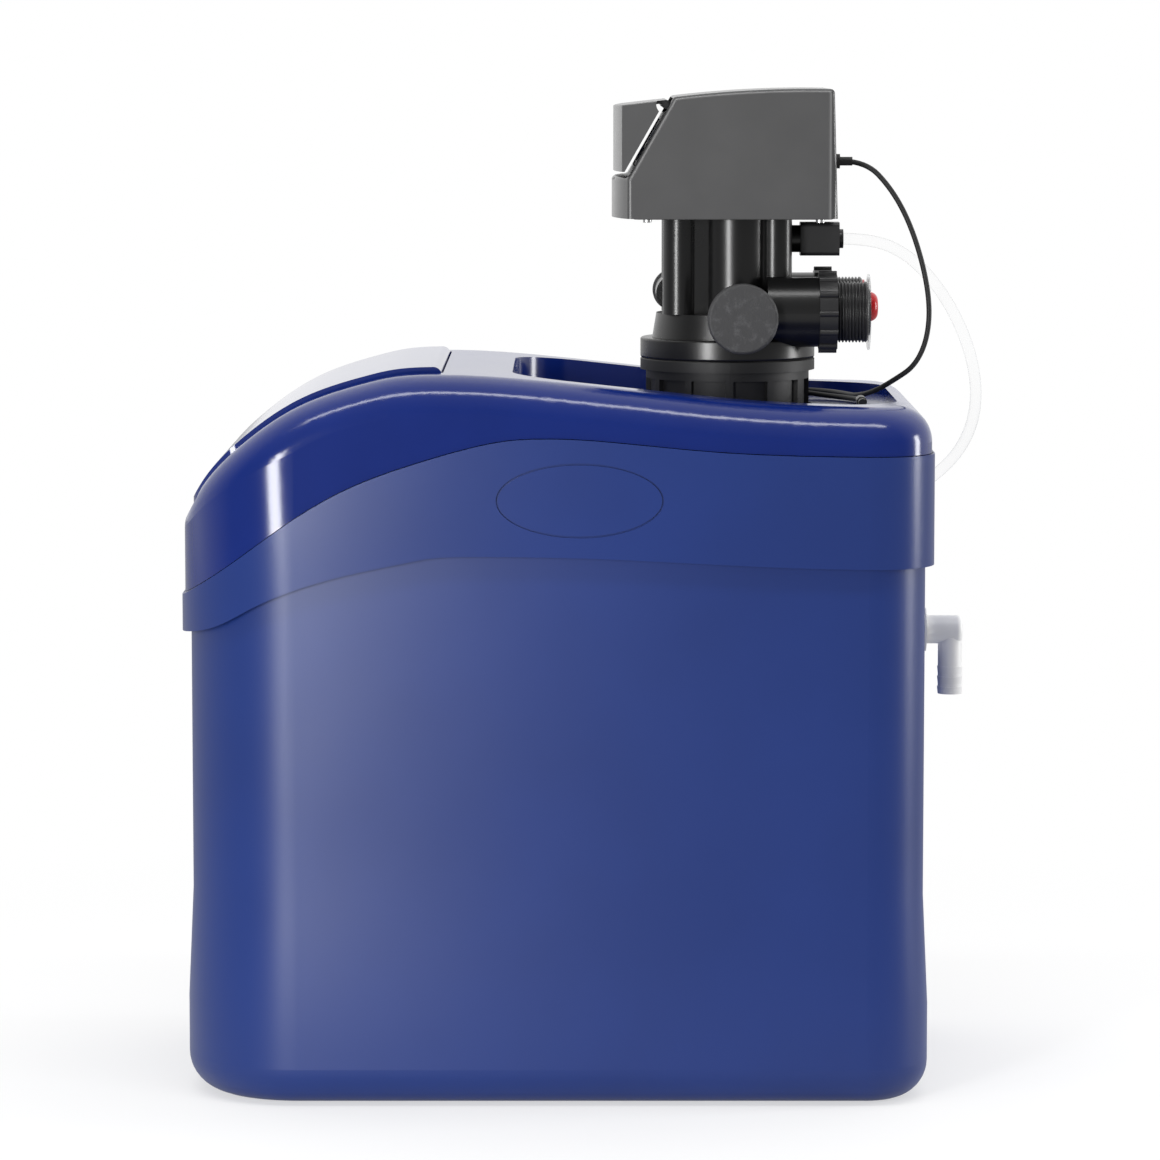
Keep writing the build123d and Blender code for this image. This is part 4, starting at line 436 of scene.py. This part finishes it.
def hood_finish(name, colour):
    """Hood plastic: satin grey sides, glossier rims painted dark as painted shade, and a painted
    highlight line between the two.
    """
    shade = Shade(name)
    across = shade.axis("X").size()
    side = shade.ramp(across, *HOOD_FLAT)
    # painted highlight: a thin pale line along the rim
    line = shade.ramp((across - HOOD_HIGHLIGHT_LINE).size(), 0.0, HOOD_HIGHLIGHT_LINE_WIDTH, 1.0, 0.0)
    cloud = shade.noise(30.0, 3.0)
    rubbed = shade.ramp(shade.noise(*RUB_NOISE), *RUB_SPAN)
    tone = shade.blend(shade.ramp(cloud, 0.3, 0.7), scaled(colour, 0.95), scaled(colour, 1.05))
    # painted shade: everything but the flat sides takes the dark rim colour
    with_rim_shade = shade.blend(side, HOOD_RIM_PAINTED_SHADE, tone)
    return shade.surface(
        Base_Color=shade.blend(line * 0.5, with_rim_shade, HOOD_HIGHLIGHT_LINE_COLOUR),
        Roughness=0.2 + side * 0.14 + cloud * 0.05 - rubbed * 0.05,
        IOR=1.5,
        Normal=shade.bump(shade.noise(1500.0, 2.0, 0.6), 0.006 * MM),
    )


def rubber_finish(name, colour):
    """Soft rubber or cable sheath with a dusty bloom."""
    shade = Shade(name)
    bloom = shade.noise(60.0, 4.0, 0.6)
    tone = shade.blend(shade.ramp(bloom, 0.4, 0.7), scaled(colour, 0.9), scaled(colour, 1.35))
    return shade.surface(
        Base_Color=tone,
        Roughness=0.55 + bloom * 0.1,
        Normal=shade.bump(shade.noise(900.0), 0.02 * MM),
    )


def metal_finish(name, colour):
    """Turned or drawn metal with fine lines along Z."""
    shade = Shade(name)
    drawn = shade.node(
        "ShaderNodeMapping", values={"Vector": shade.place(), "Scale": (900.0, 900.0, 40.0)}
    )
    lines = shade.node(
        "ShaderNodeTexNoise", values={"Vector": drawn, "Scale": 1.0, "Detail": 3.0}
    )
    return shade.surface(
        Base_Color=rgba(colour),
        Metallic=1.0,
        Roughness=0.3 + lines * 0.12,
        Normal=shade.bump(lines, 0.01 * MM),
    )


def clear_plastic(name, tint, strength=0.55):
    """Clear thin-walled plastic: see-through in the middle, as opaque as strength at its edges."""
    shade = Shade(name)
    edge = shade.node("ShaderNodeLayerWeight", values={"Blend": 0.35}, output="Facing")
    haze = shade.noise(55.0, 3.0)
    film = shade.node(
        "ShaderNodeBsdfPrincipled",
        values={
            "Base Color": rgba(tint),
            "Roughness": 0.06 + haze * 0.05,
            "IOR": 1.45,
        },
    )
    see_through = shade.node("ShaderNodeBsdfTransparent")
    cover = shade.ramp(edge**3.0, 0.0, 0.8, 0.03, strength)
    return shade.close(
        shade.node("ShaderNodeMixShader", values={0: cover, 1: see_through, 2: film})
    )


def resin_finish(name):
    """Bed of amber beads under a millimetre across, each painted darker towards its edge as painted
    shade between the beads.
    """
    shade = Shade(name)
    cells = shade.node("ShaderNodeTexVoronoi", values={"Vector": shade.place(), "Scale": 1100.0})
    # painted shade: each bead goes darker from its centre towards its edge
    tone = shade.blend(shade.ramp(cells, 0.0, 0.6), (0.5, 0.25, 0.06, 1), (0.16, 0.06, 0.015, 1))
    return shade.surface(Base_Color=tone, Roughness=0.3, Normal=shade.bump(1 - cells, 0.4 * MM))


def wound_finish(name, colour):
    """Wound glass-fibre vessel: crossing bands of thread under resin."""
    shade = Shade(name)
    bands = []
    for turn in (0.6, -0.6):
        laid = shade.node(
            "ShaderNodeMapping", values={"Vector": shade.place(), "Rotation": (turn, 0.0, 0.0)}
        )
        bands.append(
            shade.node(
                "ShaderNodeTexWave",
                {"bands_direction": "Z"},
                {"Vector": laid, "Scale": 60.0, "Distortion": 1.5, "Detail": 2.0},
                output="Fac",
            )
        )
    weave = bands[0] * bands[1]
    tone = shade.blend(weave, scaled(colour, 0.8), scaled(colour, 1.1))
    return shade.surface(
        Base_Color=tone, Roughness=0.35 + weave * 0.1, Normal=shade.bump(weave, 0.15 * MM)
    )


def circuit_finish(name):
    """Green lacquer, lighter over its tracks."""
    shade = Shade(name)
    tracks = shade.node(
        "ShaderNodeTexBrick",
        {"offset": 0.5},
        {
            "Vector": shade.place(),
            "Scale": 160.0,
            "Color1": (0, 0, 0, 1),
            "Color2": (0.3, 0.3, 0.3, 1),
            "Mortar": (1, 1, 1, 1),
            "Mortar Size": 0.05,
        },
        output="Fac",
    )
    tone = shade.blend(tracks, (0.01, 0.12, 0.045, 1), (0.03, 0.28, 0.1, 1))
    return shade.surface(Base_Color=tone, Roughness=0.25, Normal=shade.bump(tracks, 0.03 * MM))


def screen_finish(name):
    """Blue backlit display under a glossy window, lit a little unevenly."""
    shade = Shade(name)
    glow = shade.noise(40.0, 2.0)
    tone = shade.blend(glow, (0.02, 0.12, 0.55, 1), (0.05, 0.25, 0.85, 1))
    return shade.surface(
        Base_Color=(0.01, 0.05, 0.25, 1),
        Emission_Color=tone,
        Emission_Strength=0.7,
        Roughness=0.08,
    )


def dress(material, *nodes):
    """Gives CAD nodes a material."""
    for node in nodes:
        thing = bpy.data.objects[node]
        thing.data.materials.clear()
        thing.data.materials.append(material)


def grid_piece(name, points, material, closed_round=True):
    """Mesh over a grid of points: rows run along the piece, columns round it, a face each cell."""
    rows, columns = points.shape[:2]
    index = np.arange(rows * columns).reshape(rows, columns)
    around = np.roll(index, -1, axis=1) if closed_round else index[:, 1:]
    near = index if closed_round else index[:, :-1]
    faces = np.stack((near[:-1], around[:-1], around[1:], near[1:]), axis=-1).reshape(-1, 4)
    mesh = bpy.data.meshes.new(name)
    mesh.from_pydata(points.reshape(-1, 3).tolist(), [], faces.tolist())
    mesh.polygons.foreach_set("use_smooth", np.ones(len(mesh.polygons), dtype=bool))
    mesh.materials.append(material)
    mesh.update()
    thing = bpy.data.objects.new(name, mesh)
    bpy.context.scene.collection.objects.link(thing)
    return thing


def cord_curve(name, points_mm, width, material):
    """One open quadratic spline through the control points, with a round section."""
    curve = bpy.data.curves.new(name, "CURVE")
    curve.dimensions = "3D"
    spline = curve.splines.new("NURBS")
    spline.points.add(len(points_mm) - 1)
    placed = np.ones((len(points_mm), 4))
    placed[:, :3] = np.array(points_mm) * MM
    spline.points.foreach_set("co", placed.ravel())
    spline.order_u = 3
    spline.use_endpoint_u = True
    spline.resolution_u = CORD_RESOLUTION
    curve.bevel_depth = width / 2
    curve.bevel_resolution = CORD_BEVEL_RESOLUTION
    curve.use_fill_caps = True
    curve.materials.append(material)
    thing = bpy.data.objects.new(name, curve)
    bpy.context.scene.collection.objects.link(thing)
    return thing


def spline_length(points_mm):
    """Length in metres of the quadratic spline: parabolas between the middles m of its legs.

    From one middle to the next, round the point p: (1 - s)^2 m + 2 s (1 - s) p + s^2 m'
    """
    points = np.array(points_mm, dtype=float) * MM
    middles = (points[:-1] + points[1:]) / 2
    middles[0] = points[0]
    middles[-1] = points[-1]
    share = np.linspace(0, 1, LENGTH_STEPS + 1)[:, None, None]
    rest = 1 - share
    line = rest**2 * middles[:-1] + 2 * share * rest * points[1:-1] + share**2 * middles[1:]
    return float(np.linalg.norm(np.diff(line, axis=0), axis=2).sum())


def coil_points():
    """Control points of the coil: inwards in the lower layer, up in half a turn, outwards above.

    The spline touches its legs at their middles, so each point lies out by 1 / cos(half a step).
    """
    swept_in = COIL_TURNS * math.tau
    total = swept_in * 2 + math.pi
    angles = np.arange(math.tau / COIL_STEPS / 2, total, math.tau / COIL_STEPS)
    inner = COIL_RADIUS - COIL_PITCH * COIL_TURNS
    knots = (0, swept_in, swept_in + math.pi, total)
    radii = np.interp(angles, knots, (COIL_RADIUS, inner, inner, COIL_RADIUS))
    lift = np.interp(angles, (swept_in, swept_in + math.pi), (0, COIL_RISE))
    out = radii / math.cos(math.pi / COIL_STEPS)
    turned = angles + math.pi
    points = np.stack(
        (
            COIL_CENTRE[0] + out * np.cos(turned),
            COIL_CENTRE[1] + out * np.sin(turned),
            COIL_CENTRE[2] + lift,
        ),
        axis=1,
    )
    return [tuple(point) for point in points]


class CordsOperator(bpy.types.Operator):
    """Makes the clear brine tube and the black power lead."""

    bl_idname = "softener.cords"
    bl_label = "Brine tube and power lead"

    def execute(self, context):
        sizes = context.scene.softener
        clear = clear_plastic("clear_tube", (0.62, 0.64, 0.65))
        tube = cord_curve("brine_tube_clear", TUBE_ROUTE, sizes.tube_width, clear)
        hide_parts("brine_tube", "inner_brine_tube")
        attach(tube, "cabinet")
        spline_length(TUBE_ROUTE)
        route = list(LEAD_DROP) + coil_points() + list(LEAD_TAIL)
        sheath = rubber_finish("lead_sheath", (0.012, 0.012, 0.012))
        lead = cord_curve("power_lead", route, sizes.lead_width, sheath)
        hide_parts("lead_drop", "lead_coil", "lead_tail")
        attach(lead, "cabinet")
        spline_length(route)
        return {"FINISHED"}


def threaded_tail(name, node, material):
    """Threaded pipe end with a bored middle, turned round its axis along Y.

    Its radius R dips by depth D once each pitch P along a helix, at place y and angle t:
        r = R - D * w^n, w = (1 - cos(2 pi y / P - t)) / 2
    """
    low, high = (np.array(corner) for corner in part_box(node))
    centre = (low + high) / 2
    flange_radius = (high[0] - low[0]) / 2
    outer = THREAD_RADIUS * MM
    bore = PORT_BORE_RADIUS * MM
    chamfer = PORT_CHAMFER * MM
    pitch = THREAD_PITCH * MM
    start = low[1]
    end = high[1]
    flange_end = start + FLANGE_THICKNESS * MM
    thread_low = flange_end + THREAD_START * MM
    thread_high = end - chamfer
    rows = int((thread_high - thread_low) / pitch * THREAD_ROWS)
    along = np.linspace(thread_low, thread_high, rows)
    turn = np.linspace(0, math.tau, THREAD_STEPS, endpoint=False)
    wave = 0.5 - 0.5 * np.cos(math.tau * along[:, None] / pitch - turn[None, :])
    grown = np.clip((along - thread_low) / (THREAD_FADE * MM), 0, 1)
    faded = np.clip((thread_high - along) / (THREAD_FADE * MM), 0, 1)
    depth = THREAD_DEPTH * MM * (grown * faded)[:, None]
    ring = np.ones((1, THREAD_STEPS))
    before = (
        (start, bore),
        (start, flange_radius),
        (flange_end, flange_radius),
        (flange_end, outer),
    )
    after = ((end, outer - chamfer), (end, bore), (start, bore))
    thread = (along[:, None] * ring, outer - depth * wave**THREAD_NARROWING)
    depths, radii = (
        np.concatenate(
            [ring * corner[i] for corner in before]
            + [thread[i]]
            + [ring * corner[i] for corner in after]
        )
        for i in range(2)
    )
    points = np.stack(
        (centre[0] + radii * np.cos(turn), depths, centre[2] - radii * np.sin(turn)), axis=-1
    )
    thing = grid_piece(name, points, material)
    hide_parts(node)
    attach(thing, "cabinet")


class PortsOperator(bpy.types.Operator):
    """Makes the threaded ends of the two water ports."""

    bl_idname = "softener.ports"
    bl_label = "Threaded ports"

    def execute(self, context):
        black = moulded_plastic("thread_black", (0.02, 0.02, 0.021), rough=0.3)
        threaded_tail("inlet_thread", "inlet_tail", black)
        threaded_tail("outlet_thread", "outlet_tail", black)
        return {"FINISHED"}


class CabinetOperator(bpy.types.Operator):
    """Finishes the tank, its cover and the salt lid, and the steel pieces."""

    bl_idname = "softener.cabinet"
    bl_label = "Cabinet"

    def execute(self, context):
        sizes = context.scene.softener
        ripple = sizes.ripple_height
        dress(tank_finish("tank_blue", sizes.cabinet_colour, ripple), "tank")
        dress(
            glossy_plastic(
                "cover_blue", sizes.cover_colour, gloss=0.14, ripple=ripple / 2, draft=0.07
            ),
            "top_cover",
        )
        dress(
            glossy_plastic("lid_blue", sizes.cover_colour, gloss=0.06, ripple=ripple / 3),
            "salt_lid",
        )
        dress(
            metal_finish("pin_steel", (0.6, 0.6, 0.6)),
            "lid_hinge_pins",
            "piston_rod",
            "head_screws",
            "drive_motor",
        )
        return {"FINISHED"}


class ValveOperator(bpy.types.Operator):
    """Finishes the valve, its caps, its ports and what works inside it."""

    bl_idname = "softener.valve"
    bl_label = "Valve"

    def execute(self, context):
        sizes = context.scene.softener
        dress(
            glossy_plastic(
                "valve_black", sizes.valve_colour, gloss=0.26, ripple=0.03 * MM, ripple_scale=60.0
            ),
            "valve_body",
        )
        dress(moulded_plastic("collar_black", (0.010, 0.010, 0.010), rough=0.5), "neck_collar")
        dress(worn_plastic("cap_grey", (0.055, 0.055, 0.057)), "injector_cap", "refill_cap")
        dress(
            moulded_plastic("fitting_black", (0.016, 0.016, 0.017), rough=0.34),
            "drain_spout",
            "inlet_union_ring",
            "outlet_union_ring",
            "brine_connector",
            "turbine_spider",
            "stack_retainer",
            "lead_connector",
        )
        dress(
            glossy_plastic(
                "plug_red", sizes.plug_colour, gloss=0.2, ripple=0.02 * MM, ripple_scale=80.0
            ),
            "port_plug",
        )
        dress(clear_plastic("washer_clear", (0.6, 0.62, 0.63), strength=0.7), "port_washer")
        dress(
            moulded_plastic("inner_white", (0.62, 0.62, 0.58)),
            "flow_turbine",
            "piston",
            "seal_spacers",
            "drive_gear",
            "idler_gear",
            "motor_pinion",
            "riser_tube",
        )
        dress(
            rubber_finish("rubber_black", (0.014, 0.014, 0.014)),
            "piston_seals",
            "lead_gland",
            "tube_grommet",
            "overflow_gasket",
        )
        return {"FINISHED"}


class HeadOperator(bpy.types.Operator):
    """Finishes the control head, its door and the controls."""

    bl_idname = "softener.head"
    bl_label = "Control head"

    def execute(self, context):
        sizes = context.scene.softener
        dress(hood_finish("head_grey", sizes.head_colour), "head_cover", "dust_cover")
        base_colour = scaled(sizes.head_colour, 0.5)[:3]
        dress(moulded_plastic("base_grey", base_colour, rough=0.42), "head_base")
        dress(moulded_plastic("panel_black", (0.02, 0.02, 0.022), rough=0.3), "control_panel")
        dress(screen_finish("screen_blue"), "display_screen")
        dress(circuit_finish("board_green"), "circuit_board")
        dress(
            rubber_finish("button_grey", (0.3, 0.31, 0.33)),
            "button_1",
            "button_2",
            "button_3",
            "button_4",
        )
        return {"FINISHED"}


class InsideOperator(bpy.types.Operator):
    """Finishes the resin vessel, the brine well and what stands in the tank."""

    bl_idname = "softener.inside"
    bl_label = "Inside of the tank"

    def execute(self, context):
        dress(wound_finish("vessel_wound", (0.5, 0.5, 0.47)), "resin_vessel")
        dress(resin_finish("resin_beads"), "resin_bed")
        dress(
            moulded_plastic("strainer_black", (0.03, 0.03, 0.03)), "bottom_strainer", "top_strainer"
        )
        dress(
            moulded_plastic("tank_white", (0.62, 0.63, 0.62), rough=0.38),
            "brine_well",
            "brine_well_cap",
            "brine_valve",
            "float_rod",
            "float",
            "salt_grid",
        )
        dress(
            moulded_plastic("overflow_grey", (0.93, 0.93, 0.94), rough=0.3),
            "overflow_elbow",
            "overflow_nut",
        )
        return {"FINISHED"}


def area_light(name, place, target, width, height, power):
    """Soft rectangular white lamp at a place, turned to a target."""
    lamp = bpy.data.lights.new(name, "AREA")
    lamp.shape = "RECTANGLE"
    lamp.size = width
    lamp.size_y = height
    lamp.energy = power
    thing = bpy.data.objects.new(name, lamp)
    thing.location = place
    aim = np.array(target) - np.array(place)
    flat = math.hypot(aim[0], aim[1])
    heading = math.atan2(aim[1], aim[0]) - math.pi / 2
    thing.rotation_euler = (math.atan2(flat, -aim[2]), 0.0, heading)
    bpy.context.scene.collection.objects.link(thing)


class StageOperator(bpy.types.Operator):
    """Sets the floor, the light and the camera."""

    bl_idname = "softener.stage"
    bl_label = "Stage"

    def execute(self, context):
        scene = context.scene
        ground = Shade("floor_white")
        spot = ground.node(
            "ShaderNodeVectorMath", {"operation": "LENGTH"}, (ground.place(),), output="Value"
        )
        lit = ground.node("ShaderNodeBsdfDiffuse", values={"Color": FLOOR_COLOUR})
        bright = ground.node("ShaderNodeEmission", values={"Color": WHITE, "Strength": 1.0})
        dim = ground.node("ShaderNodeEmission", values={"Color": WHITE, "Strength": FLOOR_GLOW})
        seen = ground.node("ShaderNodeLightPath", output="Is Camera Ray")
        glow = ground.node("ShaderNodeMixShader", values={0: seen, 1: dim, 2: bright})
        far = ground.ramp(spot, *FLOOR_FADE, *FLOOR_SHARE)
        ground.close(ground.node("ShaderNodeMixShader", values={0: far, 1: lit, 2: glow}))
        sides = (-FLOOR_HALF, FLOOR_HALF)
        floor = grid_piece(
            "floor",
            np.array([[(x, y, 0.0) for x in sides] for y in sides]),
            ground.material,
            closed_round=False,
        )
        world = bpy.data.worlds.new("studio")
        scene.world = world
        world.use_nodes = True
        sky = Shade(tree=world.node_tree)
        direction = sky.node("ShaderNodeTexCoord", output="Generated")
        toward, height = (
            sky.node("ShaderNodeSeparateXYZ", values=(direction,), output=letter) for letter in "XZ"
        )
        top = sky.ramp(height, *SKY_TOP_SPAN, 0.0, SKY_TOP_STRENGTH)
        room = sky.ramp(toward, *SKY_SPAN, *SKY_STRENGTH) + top
        plain = sky.node("ShaderNodeBackground", values={"Color": WHITE, "Strength": room})
        white = sky.node("ShaderNodeBackground", values={"Color": WHITE, "Strength": 1.0})
        seen = sky.node("ShaderNodeLightPath", output="Is Camera Ray")
        mix = sky.node("ShaderNodeMixShader", values={0: seen, 1: plain, 2: white})
        sky.node("ShaderNodeOutputWorld", values={"Surface": mix})
        for lamp in LAMPS:
            area_light(*lamp)

        camera_data = bpy.data.cameras.new("camera")
        camera_data.sensor_width = CAMERA_SENSOR
        camera_data.lens = CAMERA_LENS
        camera = bpy.data.objects.new("camera", camera_data)
        camera.location = CAMERA_PLACE
        camera.rotation_euler = (math.radians(90 - CAMERA_DIP), 0.0, math.radians(90))
        scene.collection.objects.link(camera)
        scene.camera = camera
        scene.view_settings.view_transform = "Standard"
        return {"FINISHED"}


class SoftenerPanel(bpy.types.Panel):
    """Lists the steps that finish the softener."""

    bl_idname = "VIEW3D_PT_softener"
    bl_label = "Water softener"
    bl_space_type = "VIEW_3D"
    bl_region_type = "UI"
    bl_category = "Softener"

    def draw(self, context):
        for name in Softener.__annotations__:
            self.layout.prop(context.scene.softener, name)
        for step in OPERATORS:
            self.layout.operator(step.bl_idname)


OPERATORS = (
    CordsOperator,
    PortsOperator,
    CabinetOperator,
    ValveOperator,
    HeadOperator,
    InsideOperator,
    StageOperator,
)


def register():
    """Adds the settings, the steps and the panel."""
    bpy.utils.register_class(Softener)
    bpy.types.Scene.softener = bpy.props.PointerProperty(type=Softener)
    for step in OPERATORS:
        bpy.utils.register_class(step)
    bpy.utils.register_class(SoftenerPanel)


def unregister():
    """Takes them away again."""
    bpy.utils.unregister_class(SoftenerPanel)
    for step in reversed(OPERATORS):
        bpy.utils.unregister_class(step)
    del bpy.types.Scene.softener
    bpy.utils.unregister_class(Softener)


def main():
    """Runs each step on the loaded object."""
    register()
    bpy.ops.softener.cords()
    bpy.ops.softener.ports()
    bpy.ops.softener.cabinet()
    bpy.ops.softener.valve()
    bpy.ops.softener.head()
    bpy.ops.softener.inside()
    bpy.ops.softener.stage()


if __name__ == "__main__":
    main()
